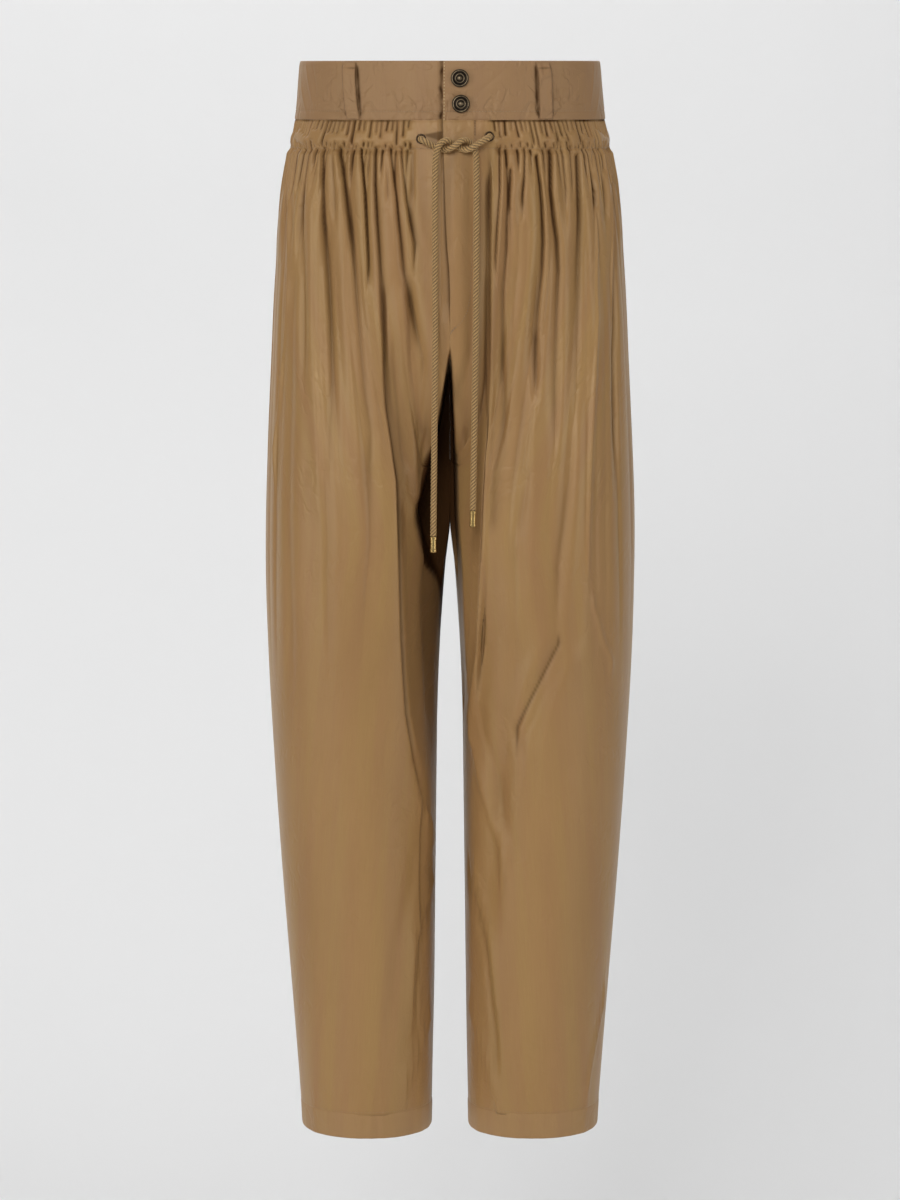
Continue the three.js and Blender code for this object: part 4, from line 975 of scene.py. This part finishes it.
def front_shades(panel, x, s, z):
    """Shade of the fronts that comes from more than one crease: between the legs, beside the laps and under them."""
    side, height = panel["side"], z[:, None]
    column = [table_curve(BETWEEN_LEGS, k, height) for k in range(5)]
    edge, plane = (column[1], column[2]) if side < 0 else (column[3], column[4])
    closing = -480 if side < 0 else -395
    opened = smooth((-232 - height) / 40) * (1 - smooth((closing - height) / 80))
    turned_in = smooth((-230 - height) / 90) * (1 - smooth((-600 - height) / 100))
    shades = [0.2 * turned_in * smooth((plane - x) / 9), 0.95 * opened * smooth((edge - x) / 4 + 0.9)]
    shades.append(0.3 * strip(x, plane, 9) * smooth((-200 - height) / 60) * (1 - smooth((-520 - height) / 100)))
    # painted shadow where the waistband's foot stands over the casing
    under = 0.55 + 0.25 * np.sin(s / 7 + side) + 0.15 * side
    shades.append(under * smooth((height + 28.8) / 1.3) * smooth((s - 30) / 10))
    if side < 0:
        # painted shadow beside the lap's edge
        lap = np.maximum(table_curve(OPENING_LAP, 1, height), 0)
        shades.append(0.6 * np.exp(-((s - lap - 0.5) / 1.0) ** 2) * smooth((height - FLY_END + 20) / 30))
        # painted shade in the dip under the lap, beside the right eyelet
        across = (25.5 - s) / 18
        dip = smooth((-35.5 - 3.5 * (1 - across) - height) / 1.6) * smooth((height + 41 + 6 * across) / 2.5)
        shades.append(0.62 * dip * smooth(across * 4) * smooth(s / 6))
    else:
        # painted shade in the trough beside the cord
        beside = strip(x, 36.8 - 5 * smooth((-240 - height) / 160), 8)
        shades.append(0.5 * beside * smooth((-62 - height) / 50) * (1 - smooth((-270 - height) / 190)))
        shades.append(0.6 * np.exp(-((s - 22.7) / 0.8) ** 2) * smooth((height + 42) / 3))
    return np.max(np.broadcast_arrays(*shades), axis=0)


def painted_crease_shade(panel, share, z, height):
    """Painted shade for the cloth's creases: darkest at their bottoms, where little light reaches."""
    shade = np.zeros_like(height)
    lower = smooth((-75 - z[:, None]) / 110)
    for reach, full, most, left in ((12, 3.2, 0.68, 1.0), (5, 1.8, 0.9, 0.8)):
        padded = np.pad(height, ((0, 0), (reach, reach)), mode="edge")
        mean = np.mean([padded[:, k:k + height.shape[1]] for k in range(2 * reach + 1)], axis=0)
        deepest = full * (1 + 0.35 * lower)
        shade = np.maximum(shade, most * (1 - (1 - left) * lower) * smooth((mean - height - 0.15) / deepest))
    shade *= 1 - 0.3 * smooth((-330 - z[:, None]) / 180)
    # a keen crease gets a thin line of painted shade along its whole path
    for path, _, _, _, fade_top, fade_foot, crease in FOLDS[panel["name"]]:
        if crease == KEEN:
            heights, places = np.array(path, float).T
            near = smooth((heights[0] + fade_top - z) / fade_top) * smooth((z - heights[-1] + fade_foot) / fade_foot)
            across = bare(panel, share, z)[0] - np.interp(-z, -heights, places)[:, None]
            shade = np.maximum(shade, 0.62 * near[:, None] * np.exp(-(across / 1.5) ** 2))
    if panel["face"] < 0:
        x, _ = bare(panel, share, z)
        shade = np.maximum(shade, front_shades(panel, x, share * girth(panel, z)[:, None], z))
    return shade


for panel_name, panel in PANELS.items():
    shares = panel_shares(panel, PANEL_HEIGHTS, FRONT_COLUMNS if panel["face"] < 0 else BACK_COLUMNS)
    raised = relief(panel, shares, PANEL_HEIGHTS)
    # the top row is caught between the two layers of the waistband
    under_lap = 1 - smooth((shares[0] * girth(panel, PANEL_HEIGHTS[0]) - STEP_START) / (STEP_END - STEP_START))
    raised[0] = -0.45 - (CLOTH + SEAM + 0.4) * under_lap * (panel_name == "front_right")
    outer = panel_points(panel, shares, PANEL_HEIGHTS, raised=raised)
    turned_by = outer[..., 1] - bare(panel, shares, PANEL_HEIGHTS)[1]
    # the inner wall is set further back at a steep crease, so it never shows through the outer one
    back = CLOTH + np.clip(np.maximum(steepness(raised), steepness(turned_by)) - 0.6, 0, 5)
    back[0] = CLOTH
    inner = outer - outward(panel, shares, PANEL_HEIGHTS) * (panel["side"], 1, 1) * back[..., None]
    painted_shade = painted_crease_shade(panel, shares, PANEL_HEIGHTS, raised)
    along = shares * girth(panel, PANEL_HEIGHTS)[:, None]
    piece = wall_object("cloth_" + panel_name, outer, inner, along, PANEL_HEIGHTS, leg_cloth,
                        panel["side"] * panel["face"] > 0, painted_shade=painted_shade, step=INNER_STEP)
    finish_piece(piece, "leg_cloth", panel_name)

# %% [markdown]
# ## Hem bands
# Each leg ends in a plain band, folded up and stitched. It is a ring of doubled cloth, a little duller than the
# leg, with small soft puckers where the stitching draws it in.

# %% Hem bands
HEM_COLUMNS, HEM_PROUD = 150, 0.25
HEM_HEIGHTS = np.array([HEM_LINE + 0.5, HEM_LINE - 0.4, HEM_LINE - 2.2, HEM_LINE - 6, HEM_LINE - 10, HEM_LINE - 14,
                        HEM_LINE - 18, HEM_EDGE + 2.4, HEM_EDGE + 0.9, HEM_EDGE + 0.2, HEM_EDGE])
HEM_ROUND = np.array([-0.3, -0.08, 0.05, 0.12, 0.1, 0.1, 0.15, 0.1, -0.1, -0.4, -0.8])


def hem_ring(side, out):
    halves = []
    for face in (-1, 1):
        half = next(p for p in PANELS.values() if p["side"] == side and p["face"] == face)
        share = np.linspace(0, 1, HEM_COLUMNS, endpoint=False)
        share = np.broadcast_to(share if face < 0 else 1 - share, (len(HEM_HEIGHTS), HEM_COLUMNS))
        base_share = np.broadcast_to(share[:1], share.shape)
        pucker = wrinkle_relief(half, base_share, np.full(len(HEM_HEIGHTS), HEM_LINE + 1.0))
        points = panel_points(half, np.array(share), HEM_HEIGHTS, out + pucker, folds=False)
        points[..., 2] = HEM_HEIGHTS[:, None]
        halves.append(points)
    return np.concatenate(halves, axis=1)


for side, label in ((-1, "right"), (1, "left")):
    outer = hem_ring(side, HEM_PROUD + HEM_ROUND[:, None])
    inner = hem_ring(side, HEM_PROUD - BAND_CLOTH - HEM_ROUND[:, None])
    around = np.concatenate([np.linspace(0, 200, HEM_COLUMNS), np.linspace(200, 400, HEM_COLUMNS)])
    around = np.broadcast_to(around, outer.shape[:2])
    piece = wall_object("cloth_hem_" + label, outer, inner, around, HEM_HEIGHTS, hem_cloth, side < 0, closed=True)
    finish_piece(piece, "leg_cloth", "hem_" + label)

# %% [markdown]
# ## Waistband
# The waistband is a doubled strip in two halves, joined at the centre back. It stands as a smooth rounded ring with
# faint handling creases. The right half passes under the left one, which carries the buttons.

# %% Waistband
BAND_COLUMNS = 421
BAND_HEIGHTS = np.concatenate([[27, 26.8, 26.2, 25.2], np.linspace(23.5, -24.6, 40), [-25.8, -26.4, BAND_SEAM]])
BAND_ROUND = np.interp(BAND_HEIGHTS, [-26.6, -26.4, -25.8, -24.6, 23.5, 25.2, 26.2, 26.8, 27],
                       [-0.7, -0.35, -0.1, 0, 0, -0.1, -0.3, -0.55, -0.9])
# Handling creases: half (side), place round the band in mm from the centre front, height, length, tilt, depth
BAND_CREASES = [
    (-1, 36, -14, 9, -0.35, -0.9), (-1, 30, 8, 12, 1.3, -0.5), (-1, 60, 4, 26, 1.45, -0.35), (-1, 22, 2, 20, 1.4, 0.45),
    (-1, 148, 8, 26, 1.1, 0.9), (-1, 158, -4, 20, 1.0, 0.8), (-1, 140, 14, 18, 1.2, -0.6), (-1, 118, -12, 14, 0.5, -0.4),
    (1, 40, 10, 18, 0.7, -0.4), (1, 52, -8, 16, 1.2, -0.3), (1, 108, 2, 14, 0.1, -0.5), (1, 150, 6, 22, 1.2, 0.7),
    (1, 160, -8, 18, 1.0, 0.6), (1, 128, 14, 12, 0.3, -0.4), (1, 76, 16, 16, 0.2, 0.35), (1, 70, -4, 20, 1.5, -0.3),
    (-1, 230, 4, 24, 1.2, -0.5), (1, 240, -6, 24, 1.0, -0.5), (-1, 300, 10, 20, 0.6, -0.4), (1, 310, 6, 22, 1.3, -0.4),
]


LOOP_WIDTH = 13.5
LOOPS = {
    "belt_loop_front_right": {"side": -1, "place": 0.475, "lean": 0.145, "wave": 0.5},
    "belt_loop_front_left": {"side": 1, "place": 0.452, "lean": 0.0, "wave": 0.7},
    "belt_loop_back_right": {"side": -1, "place": 1.36, "lean": 0.0, "wave": 0.4},
    "belt_loop_back_left": {"side": 1, "place": 1.36, "lean": 0.03, "wave": 0.4},
    "belt_loop_centre_back": {"side": 1, "place": 2.0, "lean": 0.0, "wave": 0.3},
}


def band_shade(side, along, height):
    """Where little light reaches the band: beside the belt loops and beside the overlapping edge."""
    shade = np.zeros(np.broadcast(along, height).shape)
    for loop in LOOPS.values():
        if loop["side"] == side:
            across = along - loop["place"] * band_length + side * loop["lean"] * height
            uneven = 0.8 + 0.2 * np.sin(height / 3.3 + 20 * loop["place"])
            edges = (0.9 * np.exp(-((across + LOOP_WIDTH / 2 + 0.9) / 1.3) ** 2)
                     + 0.8 * np.exp(-((across - LOOP_WIDTH / 2 - 0.7) / 1.0) ** 2))
            shade = np.maximum(shade, uneven * edges * smooth((24 - np.abs(height)) / 3))
    if side < 0:
        ragged = LAP_TOP + 0.9 + 0.8 * np.sin(height / 2.1) + 0.7 * np.sin(height / 5.3 + 1)
        uneven = 0.62 + 0.26 * np.sin(height / 3.1 + 2) + 0.12 * np.sin(height / 1.3)
        shade = np.maximum(shade, uneven * np.exp(-((along - ragged) / 1.9) ** 2))
    return shade


def band_crease_relief(side, along, height):
    total = 0.18 * np.sin(along / 9.0 + side) * np.sin(height / 13.0 + along / 31.0)
    for where, place, level, length, tilt, depth in BAND_CREASES:
        if where == side:
            u, v = along - place, height - level
            run = u * math.cos(tilt) + v * math.sin(tilt)
            cross = -u * math.sin(tilt) + v * math.cos(tilt)
            total = total + depth * np.exp(-(run / length) ** 2) * np.exp(-np.abs(cross) / 1.5)
    return total


def band_points(side, place, z, out):
    """place is 0 at the centre front, 1 at the side and 2 at the centre back."""
    points = np.empty((*place.shape, 3))
    for in_front in (True, False):
        chosen = (place <= 1) if in_front else (place > 1)
        half = PANELS["front_left" if in_front else "back_left"]
        share = np.clip(place if in_front else 2 - place, -1, 1)
        x, y = bare(half, share, z)
        normal = outward(half, share, z)
        made = np.stack([x, y, np.zeros_like(x)], axis=-1) + normal * np.asarray(out)[..., None]
        points[chosen] = made[chosen]
    points[..., 2] = z[:, None]
    points[..., 0] = np.where(place > 1, np.maximum(points[..., 0], SEAM / 2), points[..., 0]) * side
    return points


band_length = float(girth(PANELS["front_left"], 0)[0])
for side, label in ((-1, "right"), (1, "left")):
    start = -(LAP_TOP if side > 0 else BAND_UNDERLAP) / band_length
    place = np.broadcast_to(np.linspace(start, 2, BAND_COLUMNS), (len(BAND_HEIGHTS), BAND_COLUMNS)).copy()
    along = place * band_length
    end_round = np.minimum(0, (np.minimum(along - along[0, 0], 1.2) - 1.2) * 0.5)
    pushed = 0 if side > 0 else -(BAND_CLOTH + SEAM + 0.2) * (1 - smooth((along - STEP_START) / (STEP_END - STEP_START)))
    creases = 1.3 * band_crease_relief(side, along, BAND_HEIGHTS[:, None]) * smooth((along - along[0, 0]) / 6)
    creases *= smooth((25.5 - np.abs(BAND_HEIGHTS[:, None])) / 4)
    groove = -0.45 * np.exp(-((BAND_HEIGHTS[:, None] + 18.6) / 0.9) ** 2)
    outer = band_points(side, place, BAND_HEIGHTS, pushed + creases + groove + BAND_ROUND[:, None] + end_round)
    inner = band_points(side, place, BAND_HEIGHTS, pushed - BAND_CLOTH + creases - BAND_ROUND[:, None] - end_round)
    shade = band_shade(side, along, BAND_HEIGHTS[:, None])
    piece = wall_object("cloth_waistband_" + label, outer, inner, along, BAND_HEIGHTS, band_cloth, side < 0,
                        painted_shade=shade, step=INNER_STEP)
    finish_piece(piece, "band_cloth", "waistband_" + label)
    print("waistband", label, "outer length", round((2 - start) * band_length), "mm")

# %% [markdown]
# ## Belt loops
# A belt loop is a narrow folded strip, caught in the waistband's seam at the foot and folded over a small ledge at
# the top. It stands a few millimetres off the band, so a belt can pass behind it.

# %% Belt loops
LOOP_CLOTH = 1.5
# Path of the loop's back face from the top edge down: height, room behind it
LOOP_PATH = [(25.2, 0.5), (24.2, 0.5), (22.6, 0.7), (20.6, 1.5), (18, 2.5), (14, 3.0), (6, 3.1), (-4, 3.0), (-12, 2.9),
             (-17, 2.4), (-20.5, 1.3), (-23, 0.7), (-25.6, 0.5)]
LOOP_ACROSS, LOOP_DOWN = 15, 44

def on_band(side, place, z, out):
    return band_points(side, np.array([[place]]), np.array([float(z)]), np.array([[out]]))[0, 0]


def band_frame(side, place, z=0.0):
    """A place on the band with its across, up and out directions, as the frame's own pieces have."""
    at, away = on_band(side, place, z, 0), on_band(side, place, z, 1) - on_band(side, place, z, 0)
    up = on_band(side, place, z + 5, 0) - on_band(side, place, z - 5, 0)
    up /= np.linalg.norm(up)
    across = np.cross(up, away)
    across /= np.linalg.norm(across)
    return at, across, up, np.cross(across, up)


def belt_loop(name, side, place, lean, wave):
    at, across, up, out = band_frame(side, min(place, 2 - 1e-6))
    if place == 2.0:
        at, across, up = np.array([0, at[1], at[2]]), np.array([-1.0, 0, 0]), np.array([0, up[1], up[2]])
        up /= np.linalg.norm(up)
        out = np.cross(across, up)
    heights, rooms = np.array(LOOP_PATH, float).T
    down = np.linspace(0, 1, LOOP_DOWN)
    z = np.interp(down, np.linspace(0, 1, len(heights)), heights)
    room = np.interp(down, np.linspace(0, 1, len(heights)), rooms)
    s = np.linspace(-1, 1, LOOP_ACROSS)
    edge = 1 - np.abs(s) ** 8
    ripple = wave * np.sin(z / 7.0 + wave * 9)
    half_width = LOOP_WIDTH / 2
    u = s[None, :] * half_width + ripple[:, None] * 0.35
    lean_x = -lean * z
    base = at + (u + lean_x[:, None])[..., None] * across + z[:, None, None] * up
    ridge = 0.22 * (np.abs(s) > 0.72)
    crown = (0.35 + 0.65 * edge)[None, :] * LOOP_CLOTH + ridge[None, :] * edge[None, :]
    outer = base + (room[:, None] + crown)[..., None] * out
    inner = base + (room[:, None] + 0.25 * LOOP_CLOTH * (1 - edge)[None, :])[..., None] * out
    lengths = np.broadcast_to(u + 500 * place, u.shape)
    # painted shade along the fold under the ledge and at the loop's two edges
    ledge = 0.55 * np.exp(-((z[:, None] - 20.2) / 0.9) ** 2) * (0.6 + 0.4 * np.cos(2.2 * s + 9 * wave))[None, :]
    shade = np.maximum(ledge, 0.4 * np.abs(s)[None, :] ** 12)
    piece = wall_object("cloth_" + name, outer, inner, lengths, z, band_cloth, True, painted_shade=shade)
    return finish_piece(piece, "band_cloth", name)


for loop_name, values in LOOPS.items():
    belt_loop(loop_name, **values)

# %% [markdown]
# ## Buttons, eyelets and cord tips
# These are turned metal parts, so each is a profile spun round an axis. The button's face has a rolled rim, a
# groove, a raised ring and a domed middle. The cord tips keep the frame's own solids, which only take the tip metal.

# %% Turned metal


def turned(name, profile, at, across, up, out, material, segments=72):
    """profile holds (radius, height, shade) rows, the first and last on the axis or both off it for a ring."""
    rows = np.array(profile, float)
    ring = rows[0, 0] > 1e-6
    angle = np.linspace(0, 2 * math.pi, segments, endpoint=False)
    vertices, index, shades = [], [], []
    for radius, height, shade in rows:
        if radius < 1e-6:
            index.append([len(vertices)] * segments)
            vertices.append(at + height * out)
        else:
            index.append(list(range(len(vertices), len(vertices) + segments)))
            vertices += [at + radius * (math.cos(a) * across + math.sin(a) * up) + height * out for a in angle]
        shades += [shade] * (len(vertices) - len(shades))
    faces = []
    pairs = list(zip(index, index[1:])) + ([(index[-1], index[0])] if ring else [])
    for low, high in pairs:
        for k in range(segments):
            n = (k + 1) % segments
            face = [low[k], low[n], high[n], high[k]]
            faces.append(list(dict.fromkeys(face)))
    return new_mesh_object(name, np.array(vertices), faces, material, painted_shade=shades)


# the third column is painted shade: dark on the rim's sides and in the grooves, where antique metal also holds patina,
# and none on the ring tops
BUTTON_PROFILE = [
    (0, 0.3, 0.9), (4.6, 0.3, 0.9), (4.9, 1.1, 0.9), (7.6, 1.3, 0.9), (8.1, 1.7, 0.9), (8.2, 2.4, 0.85),
    (8.05, 3.0, 0.85), (7.7, 3.3, 0.9), (7.35, 3.35, 0.7), (7.1, 3.5, 0.15), (6.8, 3.6, 0), (6.55, 3.5, 0.2),
    (6.35, 3.1, 0.9), (5.9, 2.6, 1), (5.0, 2.6, 1), (4.5, 2.75, 0.9), (4.2, 3.1, 0.2), (3.9, 3.3, 0), (3.6, 3.15, 0.3),
    (3.35, 2.7, 0.95), (3.0, 2.6, 1), (2.5, 2.75, 0.95), (1.8, 3.15, 0.6), (1.1, 3.45, 0), (0, 3.6, 0),
]
BUTTONS = {"button_upper": (8.8, 11.1), "button_lower": (9.8, -12.0)}
for button_name, (x, z) in BUTTONS.items():
    length = float(girth(PANELS["front_left"], z)[0])
    at, across, up, out = band_frame(1, x / length, z)
    piece = turned("turned_" + button_name, BUTTON_PROFILE, at, across, up, out, button_metal)
    finish_piece(piece, "button_metal", button_name)

# the third column is painted shade, darkest at the lip round the hole, where the metal's patina also lies
EYELET_PROFILE = [(3.1, 0.3, 1), (4.5, 0.3, 0.5), (4.65, 0.5, 0.4), (4.5, 0.9, 0.2), (4.2, 1.1, 0), (3.8, 1.2, 0),
                  (3.45, 1.1, 0.3), (3.2, 0.8, 0.8)]
EYELETS = {"eyelet_right": ("front_right", 26.3, -43.5), "eyelet_left": ("front_left", 35.8, -41.3)}


def panel_frame(panel, x, z):
    length = float(girth(panel, z)[0])
    share, height = np.array([[x / length]]), np.array([float(z)])
    at = panel_points(panel, share, height, folds=False)[0, 0]
    out = outward(panel, share, height)[0, 0] * (panel["side"], 1, 1)
    across = np.cross((0, 0, 1), out)
    across /= np.linalg.norm(across)
    return at, across, np.cross(out, across), out


for eyelet_name, (panel_name, x, z) in EYELETS.items():
    at, across, up, out = panel_frame(PANELS[panel_name], x, z)
    piece = turned("turned_" + eyelet_name, EYELET_PROFILE, at, across, up, out, eyelet_metal, 48)
    finish_piece(piece, "eyelet_metal", eyelet_name)

for node_name in ("cord_tip_long", "cord_tip_short"):
    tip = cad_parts[node_name]
    tip.data.materials.clear()
    tip.data.materials.append(tip_metal)
print("turned parts ready")

# %% [markdown]
# ## Stitches
# Every row of stitches is the same little geometry-node tree on another line: the line is resampled at the stitch
# spacing, a small rounded stitch is set on each point, turned along the line and stood on the cloth. On the real
# garment one machine makes them all too, with a new length setting for each seam.

# %% Stitch tree


def stitch_tree():
    tree = bpy.data.node_groups.new("stitch_row", "GeometryNodeTree")
    sockets = {}
    for label, kind, value in (("Line", "NodeSocketGeometry", None), ("Spacing", "NodeSocketFloat", 0.0027),
                               ("Length", "NodeSocketFloat", 0.0019), ("Thickness", "NodeSocketFloat", 0.0003),
                               ("Seed", "NodeSocketInt", 5), ("Thread", "NodeSocketMaterial", None)):
        sockets[label] = tree.interface.new_socket(label, in_out="INPUT", socket_type=kind)
        if value is not None:
            sockets[label].default_value = value
    tree.interface.new_socket("Stitches", in_out="OUTPUT", socket_type="NodeSocketGeometry")
    given = tree.nodes.new("NodeGroupInput").outputs
    curve = add_node(tree, "GeometryNodeMeshToCurve", {"Mesh": given["Line"]}).outputs[0]
    spaced = add_node(tree, "GeometryNodeResampleCurve", {"Curve": curve, "Length": given["Spacing"]}, mode="LENGTH")
    half = math_node(tree, "MULTIPLY", given["Length"], 0.5)
    size = add_node(tree, "ShaderNodeCombineXYZ", {"X": half, "Y": given["Thickness"], "Z": given["Thickness"]})
    ball = add_node(tree, "GeometryNodeMeshUVSphere", {"Segments": 8, "Rings": 5, "Radius": 1.0}).outputs["Mesh"]
    stitch = add_node(tree, "GeometryNodeTransform", {"Geometry": ball, "Scale": size.outputs[0]}).outputs[0]
    tangent = add_node(tree, "GeometryNodeInputTangent").outputs[0]
    away = add_node(tree, "GeometryNodeInputNamedAttribute", {"Name": "away"}, data_type="FLOAT_VECTOR")
    along = add_node(tree, "FunctionNodeAlignRotationToVector", {"Vector": tangent}, axis="X")
    stood = add_node(tree, "FunctionNodeAlignRotationToVector", {"Rotation": along.outputs[0],
                                                                 "Vector": away.outputs[0]}, axis="Z", pivot_axis="X")
    uneven = add_node(tree, "FunctionNodeRandomValue", {"Min": (0.85, 0.9, 0.9), "Max": (1.08, 1.1, 1.1),
                                                        "Seed": given["Seed"]}, data_type="FLOAT_VECTOR")
    placed = add_node(tree, "GeometryNodeInstanceOnPoints", {
        "Points": spaced.outputs[0], "Instance": stitch, "Rotation": stood.outputs[0], "Scale": uneven.outputs[0]})
    real = add_node(tree, "GeometryNodeRealizeInstances", {"Geometry": placed.outputs[0]})
    coloured = add_node(tree, "GeometryNodeSetMaterial", {"Geometry": real.outputs[0], "Material": given["Thread"]})
    tree.links.new(coloured.outputs[0], tree.nodes.new("NodeGroupOutput").inputs[0])
    return tree, {label: socket.identifier for label, socket in sockets.items()}


STITCH_TREE, STITCH_INPUTS = stitch_tree()


def stitched(name, line_mm, away, slot, spacing=2.7, length=2.0, thickness=0.27, colour=None, seed=5):
    """A row of stitches along a line of points, each with its direction away from the cloth."""
    mesh = bpy.data.meshes.new(name)
    mesh.from_pydata((np.asarray(line_mm) * MM).tolist(), [(k, k + 1) for k in range(len(line_mm) - 1)], [])
    mesh.attributes.new("away", "FLOAT_VECTOR", "POINT").data.foreach_set("vector", np.asarray(away, np.float32).ravel())
    row = bpy.data.objects.new(name, mesh)
    bpy.context.scene.collection.objects.link(row)
    modifier = row.modifiers.new("stitches", "NODES")
    modifier.node_group = STITCH_TREE
    for label, value in (("Spacing", spacing * MM), ("Length", length * MM), ("Thickness", thickness * MM),
                         ("Seed", seed), ("Thread", colour or thread)):
        modifier[STITCH_INPUTS[label]] = value
    made = bpy.data.meshes.new_from_object(row.evaluated_get(bpy.context.evaluated_depsgraph_get()))
    row.modifiers.clear()
    row.data = made
    made.polygons.foreach_set("use_smooth", [True] * len(made.polygons))
    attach(row, "root")
    print(name, len(made.polygons), "faces")
    return row


# %% [markdown]
# ## Stitched lines
# A line runs along the foot of the waistband, one down its overlapping edge, one round the fly in a J with a bar
# tack at its foot, and one round each hem. The casing's own line lies in the pinched groove under the cord.

# %% Stitched lines


def line_on_band(side, z_from, z_to, place_from, place_to, count, out=0.05):
    at, away = [], []
    for t in np.linspace(0, 1, count):
        place, z = place_from + (place_to - place_from) * t, z_from + (z_to - z_from) * t
        low, high = on_band(side, place, z, out), on_band(side, place, z, out + 1)
        at.append(low)
        away.append(high - low)
    return at, away


def line_on_panel(panel, route, count, out=0.1):
    """route holds (x, z) points on the panel's own side."""
    route = np.array(route, float)
    t = np.linspace(0, len(route) - 1, count)
    xs, zs = np.interp(t, range(len(route)), route[:, 0]), np.interp(t, range(len(route)), route[:, 1])
    share = (xs / girth(panel, zs))[:, None]
    low, high = panel_points(panel, share, zs, out), panel_points(panel, share, zs, out + 1)
    return low[:, 0], (high - low)[:, 0]


def across_panel(panel, z, count, out=0.1):
    """The line round a panel at one height, from its centre edge to its side."""
    heights = np.array([float(z)])
    share = panel_shares(panel, heights, count)
    low, high = panel_points(panel, share, heights, out), panel_points(panel, share, heights, out + 1)
    return low[0], (high - low)[0]


for side, label in ((-1, "right"), (1, "left")):
    first = (9.0 if side < 0 else -5.4) / band_length
    stitched("stitches_band_foot_" + label, *line_on_band(side, -18.6, -18.6, first, 2, 160, -0.3), "band_cloth")
    for half in (p for p in PANELS.values() if p["side"] == side):
        stitched("stitches_casing_" + half["name"], *across_panel(half, CASING_STITCH, 400), "leg_cloth", 2.4, 1.8, 0.22)
        stitched("stitches_hem_" + half["name"], *across_panel(half, HEM_LINE + 1.6, 120), "leg_cloth", 2.8, 2.0, 0.15)
edge_place = -5.3 / band_length
stitched("stitches_band_edge", *line_on_band(1, 25.4, -25.8, edge_place, edge_place, 24), "band_cloth", 3.0, 1.9, 0.46,
         light_thread)
left_front = PANELS["front_left"]
J_ROUTE = [(22.7, -28), (22.4, -70), (21.2, -120), (20.0, -160), (19.1, -189), (16.8, -200), (11.4, -209), (6, -214),
           (1.6, -217)]
stitched("stitches_fly", *line_on_panel(left_front, J_ROUTE, 160), "leg_cloth", 2.6, 1.9, 0.24)
stitched("bar_tack", *line_on_panel(left_front, [(0.6, -219.5), (4.6, -214.5)], 8, 0.3), "leg_cloth", 0.5, 2.6, 0.3)

# %% [markdown]
# ## Light and backdrop
# Plain soft studio light: a wide lamp on each side of the camera, one above, and a pale backdrop that curves up
# from the floor.

# %% Light and backdrop
FLOOR_LEVEL, BACKDROP_AWAY, BACKDROP_HALF = -1.35, 2.2, 6.0


def backdrop():
    profile = [(-5.0, 0.0)]
    bend = 1.2
    profile += [(BACKDROP_AWAY - bend + bend * math.sin(a), bend - bend * math.cos(a))
                for a in np.linspace(0, math.pi / 2, 14)]
    profile.append((BACKDROP_AWAY, 5.0))
    vertices = [(x * 1000, y * 1000, (z + FLOOR_LEVEL) * 1000) for x in (-BACKDROP_HALF, BACKDROP_HALF)
                for y, z in profile]
    n = len(profile)
    faces = [(k, n + k, n + k + 1, k + 1) for k in range(n - 1)]
    paper, tree, shader = material_nodes("backdrop_paper")
    place = add_node(tree, "ShaderNodeTexCoord").outputs["Object"]
    mottle = add_node(tree, "ShaderNodeTexNoise", {"Vector": place, "Scale": 1.5, "Detail": 2.0})
    tint = mixed(tree, mottle.outputs["Fac"], (0.80, 0.80, 0.80, 1), (0.77, 0.77, 0.77, 1))
    tree.links.new(tint, shader.inputs["Base Color"])
    shader.inputs["Roughness"].default_value = 0.9
    # seen from behind, the paper lets the garment show
    output = next(node for node in tree.nodes if node.type == "OUTPUT_MATERIAL")
    behind = add_node(tree, "ShaderNodeMixShader", {"Fac": add_node(tree, "ShaderNodeNewGeometry").outputs["Backfacing"]})
    tree.links.new(shader.outputs[0], behind.inputs[1])
    tree.links.new(add_node(tree, "ShaderNodeBsdfTransparent").outputs[0], behind.inputs[2])
    tree.links.new(behind.outputs[0], output.inputs["Surface"])
    made = new_mesh_object("backdrop", np.array(vertices), faces, paper)
    return made


def area_light(name, location, target, size, power, colour=(1, 1, 1)):
    data = bpy.data.lights.new(name, "AREA")
    data.shape = "RECTANGLE"
    data.size, data.size_y = size
    data.energy = power
    data.color = colour
    lamp = bpy.data.objects.new(name, data)
    bpy.context.scene.collection.objects.link(lamp)
    lamp.location = location
    lamp.rotation_euler = (Vector(target) - Vector(location)).to_track_quat("-Z", "Y").to_euler()
    return lamp


backdrop()
area_light("front", (-0.9, -4.6, 1.5), (0, 0, -0.5), (1.6, 1.4), 92)
area_light("left", (-3.2, -2.3, 0.1), (0, 0, -0.7), (1.0, 2.4), 48)
area_light("right", (3.3, -2.1, 0.0), (0, 0, -0.65), (1.0, 2.4), 40)
area_light("wash", (-0.6, 0.6, 2.4), (0.7, 2.2, -0.5), (4.0, 1.0), 64)
world = bpy.data.worlds.new("studio")
world.use_nodes = True
world.node_tree.nodes["Background"].inputs["Color"].default_value = (0.92, 0.94, 0.96, 1)
world.node_tree.nodes["Background"].inputs["Strength"].default_value = 0.14
bpy.context.scene.world = world
bpy.context.scene.view_settings.view_transform = "Standard"
